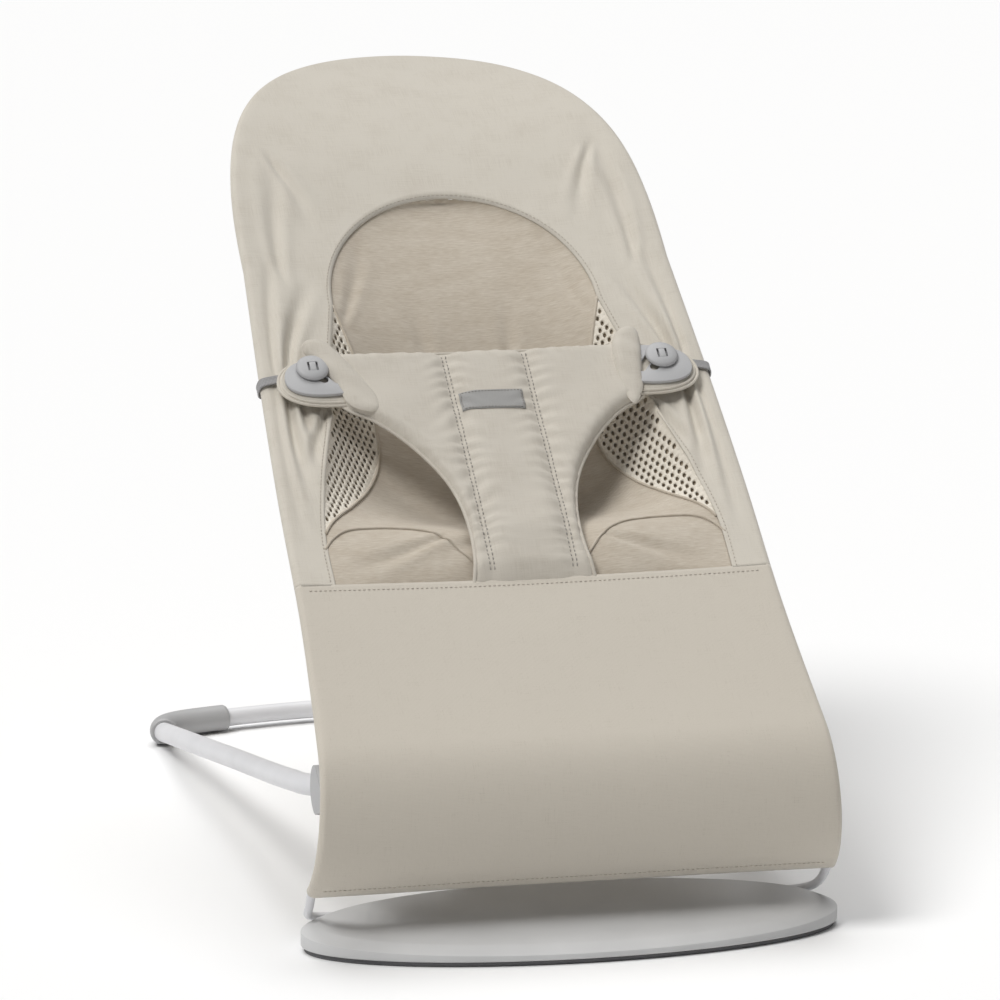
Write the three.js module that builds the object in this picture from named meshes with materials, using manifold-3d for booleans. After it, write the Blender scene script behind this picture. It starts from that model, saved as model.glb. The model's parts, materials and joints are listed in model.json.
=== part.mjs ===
// Baby bouncer seat: a sprung wire loop carries a fabric sling, a hinged tube leg holds it up behind,
// and a weighted oval foot plate carries it in front. Millimetres, +Z up, front of the seat towards -Y.
import * as THREE from 'three';
import { mergeVertices } from 'three/addons/utils/BufferGeometryUtils.js';
import Module from 'manifold-3d';

const wasm = await Module();
wasm.setup();

// ---------------------------------------------------------------------------------------------------
// Driving dimensions. Y runs from the foot plate's front edge to the rear, so the whole model is moved
// forward by half its depth at the end.
const overallDepth = 790;
const gap = 0.3;

// Side profile of the seat: a C-shaped bend in front, a straight run, and a gently curved head end.
const seatSlope = rad(36);
const bendRadius = 64;
const bendCentre = { y: 105, z: 98 };
const straightLength = 575.5;
const headRadius = 372;

// Distances along the profile, counted from the upper end of the C-bend.
const hemS = -120;
const splitS = -12;
const seamS = 152;
const archStartS = 480;
const topS = 775;

// Steel wire and tube sizes.
const wireRadius = 3.25;
const edgeInset = 4.5;
const legTubeRadius = 8;
const legTubeBore = 6.4;
const rearBarRadius = 7.25;
const rearBarBore = 5.8;

// Foot plate.
const plateHalfWidth = 198;
const plateHalfDepth = 75;
const plateBevel = 12;
const padThickness = 3.4;
const footAxis = { y: 113, z: 15 };

// Leg hinge, one on each side.
const hinge = { y: 69, z: 120 };
const hubRadius = 13;
const cheekRadius = 18;
const hubX = 174.75;
const pinRadius = 4;
const legDrop = 0.166;

// Fabric thicknesses and the heights of the layers above the wire's centreline.
const clothThickness = 3;
const clothLift = 5.2;
const restraintLift = 7.2;
const restraintThickness = 8.6;
const panDepth = 50;

// Fasteners of the restraint, as places on the flattened seat (x across, s along).
const button = { x: 134.5, s: 358, radius: 12.5 };
const flapThickness = 4.6;
const tabThickness = 2.8;

function rad(degrees) {
  return (degrees * Math.PI) / 180;
}

function mix(a, b, t) {
  return a + (b - a) * t;
}

// ---------------------------------------------------------------------------------------------------
// Materials
function finish(colour, roughness, metalness) {
  return new THREE.MeshStandardMaterial({ color: colour, roughness, metalness });
}

const cotton = finish(0xd2c8b8, 0.9, 0);
const jersey = finish(0xc9beac, 0.92, 0);
const airMesh = finish(0xddd3c0, 0.9, 0);
const webbingCloth = finish(0xb9b8b8, 0.85, 0);
const greyPatch = finish(0x9c9a97, 0.7, 0);
const paintedSteel = finish(0xd9d9dc, 0.45, 0.3);
const greyPlastic = finish(0xb7b7ba, 0.6, 0);
const plateGrey = finish(0xc4c4c4, 0.7, 0);
const rubber = finish(0x77777a, 0.9, 0);
const bareSteel = finish(0x9a9da1, 0.35, 1);

// ---------------------------------------------------------------------------------------------------
// Smooth curve through a few [s, value] stations.
function smoothThrough(stations) {
  return (s) => {
    const last = stations.length - 1;
    let i = 0;
    while (i < last - 1 && s > stations[i + 1][0]) i += 1;
    const [s0, v0] = stations[i];
    const [s1, v1] = stations[i + 1];
    const before = stations[Math.max(i - 1, 0)];
    const after = stations[Math.min(i + 2, last)];
    const slope0 = (v1 - before[1]) / (s1 - before[0]);
    const slope1 = (after[1] - v0) / (after[0] - s0);
    const t = THREE.MathUtils.clamp((s - s0) / (s1 - s0), 0, 1);
    const span = s1 - s0;
    const t2 = t * t;
    const t3 = t2 * t;
    return (2 * t3 - 3 * t2 + 1) * v0 + (t3 - 2 * t2 + t) * span * slope0
      + (3 * t2 - 2 * t3) * v1 + (t3 - t2) * span * slope1;
  };
}

// The seat's side profile: where distance s lies in the Y-Z plane, and how steep the seat is there.
function seatProfile(s) {
  const lower = {
    y: bendCentre.y - bendRadius * Math.sin(seatSlope),
    z: bendCentre.z + bendRadius * Math.cos(seatSlope),
  };
  if (s < 0) {
    const slope = seatSlope - s / bendRadius;
    return {
      y: bendCentre.y - bendRadius * Math.sin(slope),
      z: bendCentre.z + bendRadius * Math.cos(slope),
      slope,
    };
  }
  const along = Math.min(s, straightLength);
  const start = {
    y: lower.y + along * Math.cos(seatSlope),
    z: lower.z + along * Math.sin(seatSlope),
  };
  if (s <= straightLength) return { ...start, slope: seatSlope };
  const slope = seatSlope - (s - straightLength) / headRadius;
  return {
    y: start.y + headRadius * (Math.sin(seatSlope) - Math.sin(slope)),
    z: start.z + headRadius * (Math.cos(slope) - Math.cos(seatSlope)),
    slope,
  };
}

// A place on the seat: x across, s along the profile, lift out of the profile towards the child.
function seatPoint(x, s, lift = 0) {
  const at = seatProfile(s);
  return new THREE.Vector3(x, at.y - lift * Math.sin(at.slope), at.z + lift * Math.cos(at.slope));
}

function wrapOnSeat(geometry) {
  const position = geometry.attributes.position;
  for (let i = 0; i < position.count; i += 1) {
    const point = seatPoint(position.getX(i), position.getY(i), position.getZ(i));
    position.setXYZ(i, point.x, point.y, point.z);
  }
  geometry.computeVertexNormals();
  return geometry;
}

// Half widths of the sling: its outer edge, the opening for the inner panels, and the jersey panel.
const archHalfWidth = 166;
const sideWidth = smoothThrough([[-160, 197], [hemS, 195], [0, 186.5], [120, 179.5], [240, 177],
  [360, 172.3], [archStartS, archHalfWidth]]);

function edgeStation(turn, inset) {
  const rise = Math.sin(turn) ** (1 / 1.3);
  return {
    s: archStartS + (topS - archStartS - inset) * rise,
    half: (archHalfWidth - inset) * Math.cos(turn) ** (1 / 0.95),
  };
}

const openingTopS = 556;
const openingArchS = 441;
const openingSide = smoothThrough([[140, 149], [203, 148], [260, 139], [328, 123], [395, 112],
  [openingArchS, 103]]);
const jerseySide = smoothThrough([[140, 149], [205, 147], [246, 118], [272, 101], [298, 89],
  [325, 83.5], [350, 83.5], [395, 91], [openingArchS, 103]]);

function openingHalf(s) {
  if (s <= openingArchS) return openingSide(s);
  const turn = Math.min((s - openingArchS) / (openingTopS - openingArchS), 1);
  return openingSide(openingArchS) * Math.sqrt(1 - turn * turn);
}

function jerseyHalf(s) {
  return s <= openingArchS ? Math.min(jerseySide(s), openingHalf(s) - 1) : openingHalf(s);
}

const panShape = smoothThrough([[seamS, 0], [205, 0.12], [245, 0.7], [300, 1], [400, 0.6], [500, 0.15],
  [openingTopS, 0]]);

// The inner panels hang down into a seat pan, deepest on the middle line.
function panLift(x, s) {
  const across = Math.min(Math.abs(x) / openingHalf(s), 1);
  return clothLift - panDepth * panShape(s) * (1 - across * across);
}

// ---------------------------------------------------------------------------------------------------
// Geometry helpers
function merged(geometry) {
  const bare = geometry.clone();
  bare.deleteAttribute('normal');
  bare.deleteAttribute('uv');
  return mergeVertices(bare, 1e-4);
}

function toSolid(geometry) {
  const bare = merged(geometry);
  return new wasm.Manifold(new wasm.Mesh({
    numProp: 3,
    vertProperties: Float32Array.from(bare.attributes.position.array),
    triVerts: Uint32Array.from(bare.index.array),
  }));
}

function fromSolid(solid) {
  const { vertProperties, triVerts } = solid.getMesh();
  const geometry = new THREE.BufferGeometry();
  geometry.setAttribute('position', new THREE.BufferAttribute(Float32Array.from(vertProperties), 3));
  geometry.setIndex(new THREE.BufferAttribute(Uint32Array.from(triVerts), 1));
  geometry.computeVertexNormals();
  return geometry;
}

function cut(geometry, ...cutters) {
  return fromSolid(cutters.reduce((solid, cutter) => solid.subtract(toSolid(cutter)), toSolid(geometry)));
}

function join(geometry, ...others) {
  return fromSolid(others.reduce((solid, other) => solid.add(toSolid(other)), toSolid(geometry)));
}

function mirrored(geometry) {
  const copy = merged(geometry);
  copy.scale(-1, 1, 1);
  const index = copy.index;
  for (let i = 0; i < index.count; i += 3) {
    const first = index.getX(i);
    index.setX(i, index.getX(i + 1));
    index.setX(i + 1, first);
  }
  copy.computeVertexNormals();
  return copy;
}

// Round bar, or tube when it has a bore, swept along a smooth curve.
function sweep(points, radius, { halfSides = 5, steps = 12, bore = 0 } = {}) {
  const section = new THREE.Shape();
  section.absarc(0, 0, radius, 0, Math.PI * 2);
  if (bore > 0) {
    const hole = new THREE.Path();
    hole.absarc(0, 0, bore, 0, Math.PI * 2, true);
    section.holes.push(hole);
  }
  return new THREE.ExtrudeGeometry(section, {
    extrudePath: new THREE.CatmullRomCurve3(points, false, 'centripetal'),
    steps,
    curveSegments: halfSides,
    bevelEnabled: false,
  });
}

// Cylinder along X.
function rodAcross(radius, xFrom, xTo, y, z, sides = 16) {
  const rod = new THREE.CylinderGeometry(radius, radius, xTo - xFrom, sides);
  rod.rotateZ(Math.PI / 2);
  rod.translate((xFrom + xTo) / 2, y, z);
  return rod;
}

function rodUp(radius, zFrom, zTo, x, y, sides = 12) {
  const rod = new THREE.CylinderGeometry(radius, radius, zTo - zFrom, sides);
  rod.rotateX(Math.PI / 2);
  rod.translate(x, y, (zFrom + zTo) / 2);
  return rod;
}

function block(xFrom, xTo, yFrom, yTo, zFrom, zTo) {
  const box = new THREE.BoxGeometry(xTo - xFrom, yTo - yFrom, zTo - zFrom);
  box.translate((xFrom + xTo) / 2, (yFrom + yTo) / 2, (zFrom + zTo) / 2);
  return box;
}

// Plate cut from an outline in the Y-Z plane, spanning xFrom to xTo.
function sidePlate(outline, xFrom, xTo, curveSegments = 6) {
  const plate = new THREE.ExtrudeGeometry(outline, { depth: xTo - xFrom, curveSegments, bevelEnabled: false });
  plate.rotateX(Math.PI / 2);
  plate.rotateZ(Math.PI / 2);
  plate.translate(xFrom, 0, 0);
  return plate;
}

// Piece of cloth: rows of stations { s, from, to } across the seat, lifted by liftAt and given a thickness.
function cloth(rows, { across = 8, thickness = clothThickness, liftAt = () => clothLift } = {}) {
  const sheet = new THREE.BoxGeometry(1, 1, 1, across, rows.length - 1, 1);
  const position = sheet.attributes.position;
  for (let i = 0; i < position.count; i += 1) {
    const row = rows[Math.round((position.getY(i) + 0.5) * (rows.length - 1))];
    const x = mix(row.from, row.to, position.getX(i) + 0.5);
    position.setXYZ(i, x, row.s, liftAt(x, row.s) + position.getZ(i) * thickness);
  }
  return wrapOnSeat(sheet);
}

function rowsBetween(sFrom, sTo, count, halfAt) {
  const rows = [];
  for (let i = 0; i <= count; i += 1) {
    const s = mix(sFrom, sTo, i / count);
    rows.push({ s, from: -halfAt(s), to: halfAt(s) });
  }
  return rows;
}

// Pad cut from an outline on the flattened seat, starting at a given lift.
function seatPad(outline, lift, thickness, curveSegments = 10) {
  const pad = new THREE.ExtrudeGeometry(outline, { depth: thickness, curveSegments, bevelEnabled: false });
  pad.translate(0, 0, lift);
  return wrapOnSeat(pad);
}

// ---------------------------------------------------------------------------------------------------
// Wire loop
function wireAt(s) {
  return seatPoint(sideWidth(s) - edgeInset, s);
}

function spread(from, to, count, pointAt) {
  return Array.from({ length: count + 1 }, (_, i) => pointAt(mix(from, to, i / count)));
}

// From the middle of the foot plate outwards, round the corner and up to the start of the C-bend.
const wireCornerPoints = [
  new THREE.Vector3(150, footAxis.y, footAxis.z),
  new THREE.Vector3(161, footAxis.y, footAxis.z),
  new THREE.Vector3(172, footAxis.y, footAxis.z),
  new THREE.Vector3(179.5, footAxis.y - 1.5, footAxis.z + 0.8),
  new THREE.Vector3(185.5, footAxis.y - 6.5, footAxis.z + 3.2),
  new THREE.Vector3(189, footAxis.y - 16, footAxis.z + 8),
  new THREE.Vector3(190.2, footAxis.y - 29, footAxis.z + 16.5),
];

const bendJoinS = -128;
const wireGapS = 0.5;

function baseWireSide() {
  const bend = spread(bendJoinS, splitS - wireGapS, 24, wireAt);
  return sweep([...wireCornerPoints, ...bend], wireRadius, { steps: 30 });
}

function baseWireRun() {
  const end = wireCornerPoints[0].x - gap;
  const ends = [new THREE.Vector3(-end, footAxis.y, footAxis.z), new THREE.Vector3(end, footAxis.y, footAxis.z)];
  return sweep(ends, wireRadius, { steps: 1 });
}

function seatWireSide() {
  return sweep(spread(splitS + wireGapS, archStartS, 80, wireAt), wireRadius, { steps: 18 });
}

function seatWireArch() {
  const right = spread(0.03, Math.PI / 2, 14, (turn) => {
    const station = edgeStation(turn, edgeInset);
    return seatPoint(station.half, station.s);
  });
  const left = right.slice(0, -1).reverse().map((point) => new THREE.Vector3(-point.x, point.y, point.z));
  return sweep([...right, ...left], wireRadius, { steps: 34 });
}

// ---------------------------------------------------------------------------------------------------
// Foot plate
const plateRim = (y) => 8 + 12 * (y / (2 * plateHalfDepth));
const plateTop = (y) => 12 + 14 * (y / (2 * plateHalfDepth));

// Oval disc with a bevelled rim, higher at the rear. Rings count outwards: 0 middle, 1 top edge, 2 rim.
function ovalDisc(inset, bottomZ, rimZ, topZ, bevel) {
  const rings = [new THREE.Vector2(0, 0), new THREE.Vector2(2, 0), new THREE.Vector2(2, 1),
    new THREE.Vector2(1, 2), new THREE.Vector2(0, 2)];
  const disc = new THREE.LatheGeometry(rings, 56);
  const position = disc.attributes.position;
  for (let i = 0; i < position.count; i += 1) {
    const ring = Math.hypot(position.getX(i), position.getZ(i));
    const turn = Math.atan2(position.getZ(i), position.getX(i));
    const shrink = inset + (ring < 1.5 ? bevel : 0);
    const reach = ring < 0.5 ? 0 : 1;
    const x = reach * (plateHalfWidth - shrink) * Math.cos(turn);
    const y = plateHalfDepth - reach * (plateHalfDepth - shrink) * Math.sin(turn);
    const level = Math.round(position.getY(i));
    position.setXYZ(i, x, y, [bottomZ, rimZ(y), topZ(y)][level]);
  }
  disc.computeVertexNormals();
  return disc;
}

const clipPlaces = [-110, 0, 110];
const clip = { halfLength: 12, yFrom: 105.5, yTo: 132, screwY: 125, bottomZ: 4.4, topZ: 11.3 };

function footPlate() {
  const channel = block(-210, 210, footAxis.y - 4.4, footAxis.y + 4.4, 0, footAxis.z + 4.2);
  const corner = sweep(wireCornerPoints, 5.6, { steps: 14 });
  const clipRooms = clipPlaces.map((x) => block(x - clip.halfLength - gap, x + clip.halfLength + gap,
    clip.yFrom - gap, clip.yTo + gap, 0, clip.topZ + gap));
  const screwHoles = clipPlaces.map((x) => rodUp(1.9, 10, 19, x, clip.screwY));
  return cut(ovalDisc(0, padThickness + gap, plateRim, plateTop, plateBevel), channel, corner,
    mirrored(corner), ...clipRooms, ...screwHoles);
}

function gripPad() {
  return ovalDisc(2.5, 0, () => padThickness - 0.8, () => padThickness, 1.2);
}

function wireClip(x) {
  const body = block(x - clip.halfLength, x + clip.halfLength, clip.yFrom, clip.yTo, clip.bottomZ, clip.topZ);
  const saddle = rodAcross(wireRadius + gap, x - 20, x + 20, footAxis.y, footAxis.z);
  return cut(body, saddle, rodUp(1.9, 0, 20, x, clip.screwY), rodUp(3.6, 0, 6.4, x, clip.screwY));
}

function clipScrew(x) {
  return join(rodUp(1.6, 5, 17.5, x, clip.screwY), rodUp(3.3, clip.bottomZ + 0.2, 6.1, x, clip.screwY));
}

// ---------------------------------------------------------------------------------------------------
// Leg hinge, drawn for the right side
const wireBore = () => sweep(spread(bendJoinS + 30, splitS + 6, 8, wireAt), wireRadius + gap, { steps: 16 });

function cheekOutline(rearRadius) {
  const outline = new THREE.Shape();
  const front = { y: 51, z: 117, radius: 8.5 };
  outline.absarc(hinge.y, hinge.z, rearRadius, -Math.PI / 2, Math.PI / 2);
  outline.lineTo(front.y + 4, front.z + front.radius + 2.5);
  outline.absarc(front.y, front.z, front.radius, Math.PI * 0.6, Math.PI * 1.4);
  outline.lineTo(hinge.y, hinge.z - rearRadius);
  return outline;
}

const housingScrew = { y: 53.5, z: 111 };

function housingOuter() {
  const cover = sidePlate(cheekOutline(cheekRadius), 181.2, 188.6);
  return cut(cover, wireBore(), rodAcross(pinRadius + gap, 170, 186, hinge.y, hinge.z),
    rodAcross(1.9, 170, 186.5, housingScrew.y, housingScrew.z, 10));
}

function housingInner() {
  const cheek = sidePlate(cheekOutline(cheekRadius), 164.5, 168.4);
  const noseOutline = new THREE.Shape();
  noseOutline.moveTo(47, 108.5);
  noseOutline.lineTo(54.2, 105.5);
  noseOutline.lineTo(54.2, 129);
  noseOutline.lineTo(47, 124);
  const nose = sidePlate(noseOutline, 168, 180.9);
  const springRoom = block(169, 180, 51.6, 60, 114.6, 125.4);
  return cut(join(cheek, nose), springRoom, rodAcross(pinRadius + gap, 160, 172, hinge.y, hinge.z),
    rodAcross(1.9, 160, 182, housingScrew.y - 3.2, housingScrew.z, 10),
    rodAcross(3.6, 160, 166.6, housingScrew.y - 3.2, housingScrew.z, 12));
}

function housingScrewPart() {
  const y = housingScrew.y - 3.2;
  return join(rodAcross(1.6, 165, 180.6, y, housingScrew.z, 10),
    rodAcross(3.3, 164.7, 166.3, y, housingScrew.z, 12));
}

function pivotPin() {
  return join(rodAcross(pinRadius, 163, 185.6, hinge.y, hinge.z),
    rodAcross(6.5, 162, 164.2, hinge.y, hinge.z, 18));
}

// Leaf that clicks into a notch of the hub at each seat height.
function clickSpring() {
  return join(block(169.6, 179.4, 52, 53, 115, 125), rodAcross(1.7, 169.6, 179.4, 54.2, hinge.z, 10));
}

const clickAngles = [0, 12, 24, 38];

function legHub() {
  const disc = rodAcross(hubRadius, 168.8, 180.7, hinge.y, hinge.z, 40);
  const stem = sweep([legPoint(hinge.y + 8), legPoint(hinge.y + 20), legPoint(hinge.y + 38)], 5.6, { steps: 3 });
  const notches = clickAngles.map((angle) => {
    const turn = rad(180 - angle);
    return rodAcross(2.2, 160, 190, hinge.y + (hubRadius + 1.4) * Math.cos(turn),
      hinge.z + (hubRadius + 1.4) * Math.sin(turn), 12);
  });
  return cut(join(disc, stem), rodAcross(pinRadius + gap, 160, 190, hinge.y, hinge.z), ...notches);
}

// ---------------------------------------------------------------------------------------------------
// Rear leg frame
const elbowMouth = { x: 187, y: 718 };
const legSpread = smoothThrough([[hinge.y, hubX], [hinge.y + 26, hubX + 0.3], [hinge.y + 60, 183.5],
  [hinge.y + 95, 185], [elbowMouth.y, elbowMouth.x], [elbowMouth.y + 40, elbowMouth.x + 0.1]]);

function legPoint(y) {
  return new THREE.Vector3(legSpread(y), y, hinge.z - legDrop * (y - hinge.y));
}

const barMiddleY = overallDepth - rearBarRadius;
const barArcRadius = 481;
const barZ = 10.6;
const elbowEndX = 128;

function barPoint(x) {
  return new THREE.Vector3(x, barMiddleY - barArcRadius + Math.sqrt(barArcRadius ** 2 - x ** 2), barZ);
}

function legTube() {
  const points = [...spread(hinge.y + 23, hinge.y + 95, 4, legPoint), ...spread(300, elbowMouth.y + 10, 3, legPoint)];
  return sweep(points, legTubeRadius, { halfSides: 5, steps: 16, bore: legTubeBore });
}

function rearBar() {
  const end = elbowEndX + 14;
  return sweep(spread(-end, end, 8, barPoint), rearBarRadius, { halfSides: 6, steps: 12, bore: rearBarBore });
}

function elbowPath() {
  const mouth = legPoint(elbowMouth.y);
  const end = barPoint(elbowEndX);
  const barTurn = Math.asin(elbowEndX / barArcRadius);
  const reach = 36;
  return new THREE.CubicBezierCurve3(mouth, mouth.clone().add(new THREE.Vector3(0.2, 30, -1)),
    new THREE.Vector3(end.x + reach * Math.cos(barTurn), end.y - reach * Math.sin(barTurn), end.z), end);
}

const elbowRadius = 10.9;
const elbowFlatZ = 2.4;

function elbow() {
  const body = sweep(elbowPath().getPoints(10), elbowRadius, { halfSides: 8, steps: 14 });
  const tubeSocket = sweep(spread(elbowMouth.y - 20, elbowMouth.y + 14, 3, legPoint), legTubeRadius + gap,
    { halfSides: 6, steps: 4 });
  const barSocket = sweep(spread(elbowEndX - 20, elbowEndX + 15, 4, barPoint), rearBarRadius + gap,
    { halfSides: 6, steps: 4 });
  return cut(body, tubeSocket, barSocket, block(100, 220, 690, 800, -10, elbowFlatZ));
}

// Rubber shoe under the elbow: a flat crescent that follows the elbow.
function elbowPad() {
  const half = 5;
  const places = elbowPath().getPoints(12).slice(1, -1);
  const rows = places.map((place, i) => {
    const next = places[Math.min(i + 1, places.length - 1)];
    const last = places[Math.max(i - 1, 0)];
    const across = new THREE.Vector2(next.y - last.y, last.x - next.x).normalize().multiplyScalar(half);
    return { place, across };
  });
  const outline = new THREE.Shape();
  rows.forEach(({ place, across }, i) => {
    const x = place.x + across.x;
    const y = place.y + across.y;
    if (i === 0) outline.moveTo(x, y);
    else outline.lineTo(x, y);
  });
  [...rows].reverse().forEach(({ place, across }) => outline.lineTo(place.x - across.x, place.y - across.y));
  return new THREE.ExtrudeGeometry(outline, { depth: elbowFlatZ - gap, bevelEnabled: false });
}

// ---------------------------------------------------------------------------------------------------
// Sling
function borderPanel() {
  const rows = rowsBetween(seamS, archStartS, 8, sideWidth);
  for (let i = 1; i <= 12; i += 1) {
    const station = edgeStation(rad(84) * (i / 12), 0);
    rows.push({ s: station.s, from: -station.half, to: station.half });
  }
  const whole = cloth(rows, { across: 10 });
  const openingRows = rowsBetween(seamS - 20, openingArchS, 14, openingHalf);
  for (let i = 1; i <= 10; i += 1) {
    const s = openingArchS + (openingTopS - openingArchS) * Math.sin(rad(86) * (i / 10));
    openingRows.push({ s, from: -openingHalf(s), to: openingHalf(s) });
  }
  return cut(whole, cloth(openingRows, { across: 4, thickness: 20 }));
}

function jerseyPanel() {
  const rows = rowsBetween(seamS + 1, openingArchS, 14, (s) => jerseyHalf(s) - 0.5);
  for (let i = 1; i <= 8; i += 1) {
    const s = openingArchS + (openingTopS - openingArchS - 2) * Math.sin(rad(84) * (i / 8));
    const half = openingHalf(s) - 2;
    rows.push({ s, from: -half, to: half });
  }
  return cloth(rows, { across: 12, liftAt: panLift });
}

function meshPanel() {
  const rows = [];
  const count = 10;
  for (let i = 0; i <= count; i += 1) {
    const s = mix(216, 428, i / count);
    rows.push({ s, from: jerseyHalf(s) + 0.5, to: openingHalf(s) - 0.5 });
  }
  return cloth(rows, { across: 3, liftAt: panLift });
}

function legRest(sFrom, sTo, count) {
  return cloth(rowsBetween(sFrom, sTo, count, sideWidth), { across: 4 });
}

// T-shaped restraint: a wide band across the seat and a strap down between the legs.
const restraintTopS = 377;
const restraintEndX = 111;
const padStartX = 112;
const legCutout = [[38.5, 173], [39.5, 198], [43, 224], [51, 249], [63, 273], [78, 294], [95, 311], [104, 317]];

function restraint() {
  const outline = new THREE.Shape();
  const rightEdge = legCutout.map(([x, s]) => new THREE.Vector2(x, s));
  const leftEdge = [...rightEdge].reverse().map((point) => new THREE.Vector2(-point.x, point.y));
  outline.moveTo(-43, seamS + 1);
  outline.lineTo(43, seamS + 1);
  outline.splineThru(rightEdge);
  outline.lineTo(restraintEndX, 320);
  outline.lineTo(restraintEndX - 1, restraintTopS);
  outline.lineTo(1 - restraintEndX, restraintTopS);
  outline.lineTo(-restraintEndX, 320);
  outline.splineThru(leftEdge);
  return seatPad(outline, restraintLift, restraintThickness, 2);
}

// Padded D-shaped flap that carries the plastic tab.
function flap() {
  const outline = new THREE.Shape();
  outline.moveTo(padStartX, 327);
  outline.bezierCurveTo(150, 325, 166, 338, 164, 352);
  outline.bezierCurveTo(162, 366, 146, 374, padStartX, 378);
  const hole = new THREE.Path();
  hole.absarc(button.x, button.s, 9.5, 0, Math.PI * 2, true);
  outline.holes.push(hole);
  return seatPad(outline, restraintLift + 1.6, flapThickness, 5);
}

const tabLift = restraintLift + 1.6 + flapThickness + gap;
const tabSlideTurn = rad(-125);
const slotRadius = 3.2;
const slotLength = 13;

function slotPath(x, s) {
  const along = new THREE.Vector2(Math.cos(tabSlideTurn), Math.sin(tabSlideTurn)).multiplyScalar(slotLength);
  const path = new THREE.Path();
  const turn = tabSlideTurn;
  path.absarc(x, s, slotRadius, turn - Math.PI / 2, turn + Math.PI / 2, true);
  path.absarc(x + along.x, s + along.y, slotRadius, turn + Math.PI / 2, turn - Math.PI / 2, true);
  return path;
}

function tab() {
  const outline = new THREE.Shape();
  outline.moveTo(padStartX, 334);
  outline.bezierCurveTo(145, 328, 161, 338, 160, 351);
  outline.bezierCurveTo(159, 364, 144, 371, padStartX, 371);
  outline.holes.push(slotPath(button.x, button.s), slotPath(button.x - 10, button.s - 1));
  return seatPad(outline, tabLift, tabThickness, 5);
}

// Mushroom button whose stem passes through the tab's slot.
const buttonHeadLift = tabLift + tabThickness + 0.5;
const buttonHead = 3.4;
const tongue = { halfWidth: 4, length: 12 };

function onSeat(geometry) {
  geometry.translate(button.x, button.s, 0);
  return wrapOnSeat(geometry);
}

function upright(radius, from, to, sides) {
  const rod = new THREE.CylinderGeometry(radius, radius, to - from, sides);
  rod.rotateX(Math.PI / 2);
  rod.translate(0, 0, (from + to) / 2);
  return rod;
}

function buttonPart() {
  const base = upright(8.8, restraintLift + 1.4, restraintLift + 3, 20);
  const stem = upright(2.9, restraintLift + 2, buttonHeadLift + 1, 12);
  const head = upright(button.radius, buttonHeadLift, buttonHeadLift + buttonHead, 28);
  const slit = block(-tongue.halfWidth - 0.5, tongue.halfWidth + 0.5, -tongue.length / 2 - 0.5,
    tongue.length / 2 + 0.5, buttonHeadLift + 1.3, buttonHeadLift + 10);
  return onSeat(cut(join(base, stem, head), slit));
}

function buttonTongue() {
  return onSeat(block(-tongue.halfWidth, tongue.halfWidth, -tongue.length / 2, tongue.length / 2,
    buttonHeadLift + 2.2, buttonHeadLift + buttonHead + 0.5));
}

// Webbing loop round the wire: over the sling, down outside its edge and back underneath.
function webbing() {
  const width = 11;
  const outerX = sideWidth(button.s) + 2.2;
  const topLift = restraintLift;
  const thickness = 1.2;
  const bottomLift = -8;
  const outline = new THREE.Shape();
  outline.moveTo(128, topLift);
  outline.lineTo(outerX - thickness, topLift);
  outline.lineTo(outerX - thickness, bottomLift + thickness);
  outline.lineTo(150, bottomLift + thickness);
  outline.lineTo(150, bottomLift);
  outline.lineTo(outerX, bottomLift);
  outline.lineTo(outerX, topLift + thickness);
  outline.lineTo(128, topLift + thickness);
  const loop = new THREE.ExtrudeGeometry(outline, { depth: width, bevelEnabled: false });
  loop.rotateX(Math.PI / 2);
  loop.translate(0, button.s + width / 2, 0);
  return wrapOnSeat(loop);
}

function labelPatch() {
  const patch = block(-24, 24, 313, 331, restraintLift + restraintThickness + gap,
    restraintLift + restraintThickness + gap + 0.8);
  return wrapOnSeat(patch);
}

// ---------------------------------------------------------------------------------------------------
// Assembly
const bouncer = new THREE.Group();
bouncer.position.set(0, -overallDepth / 2, 0);

function add(name, geometry, material) {
  const mesh = new THREE.Mesh(geometry, material);
  mesh.name = name;
  bouncer.add(mesh);
}

function addPair(name, rightGeometry, material) {
  add(`${name}_right`, rightGeometry, material);
  add(`${name}_left`, mirrored(rightGeometry), material);
}

add('base_wire_run', baseWireRun(), paintedSteel);
addPair('base_wire', baseWireSide(), paintedSteel);
addPair('seat_wire', seatWireSide(), paintedSteel);
add('seat_wire_arch', seatWireArch(), paintedSteel);

add('foot_plate', footPlate(), plateGrey);
add('foot_grip_pad', gripPad(), rubber);
clipPlaces.forEach((x, i) => {
  add(`wire_clip_${i + 1}`, wireClip(x), greyPlastic);
  add(`clip_screw_${i + 1}`, clipScrew(x), bareSteel);
});

addPair('hinge_housing_outer', housingOuter(), greyPlastic);
addPair('hinge_housing_inner', housingInner(), greyPlastic);
addPair('housing_screw', housingScrewPart(), bareSteel);
addPair('hinge_pin', pivotPin(), bareSteel);
addPair('click_spring', clickSpring(), bareSteel);
addPair('leg_hub', legHub(), greyPlastic);
addPair('leg_tube', legTube(), paintedSteel);
addPair('leg_elbow', elbow(), greyPlastic);
addPair('elbow_pad', elbowPad(), rubber);
add('rear_bar', rearBar(), paintedSteel);

add('leg_rest_hem', legRest(hemS, splitS - 1.2, 8), cotton);
add('leg_rest_panel', legRest(splitS + 1.2, seamS - 0.6, 4), cotton);
add('border_panel', borderPanel(), cotton);
add('jersey_panel', jerseyPanel(), jersey);
addPair('air_mesh', meshPanel(), airMesh);
add('restraint', restraint(), cotton);
addPair('flap', flap(), cotton);
addPair('tab', tab(), greyPlastic);
addPair('button', buttonPart(), greyPlastic);
addPair('button_tongue', buttonTongue(), greyPlastic);
addPair('webbing', webbing(), webbingCloth);
add('label_patch', labelPatch(), greyPatch);

export default bouncer;
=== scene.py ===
import json
import math

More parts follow.
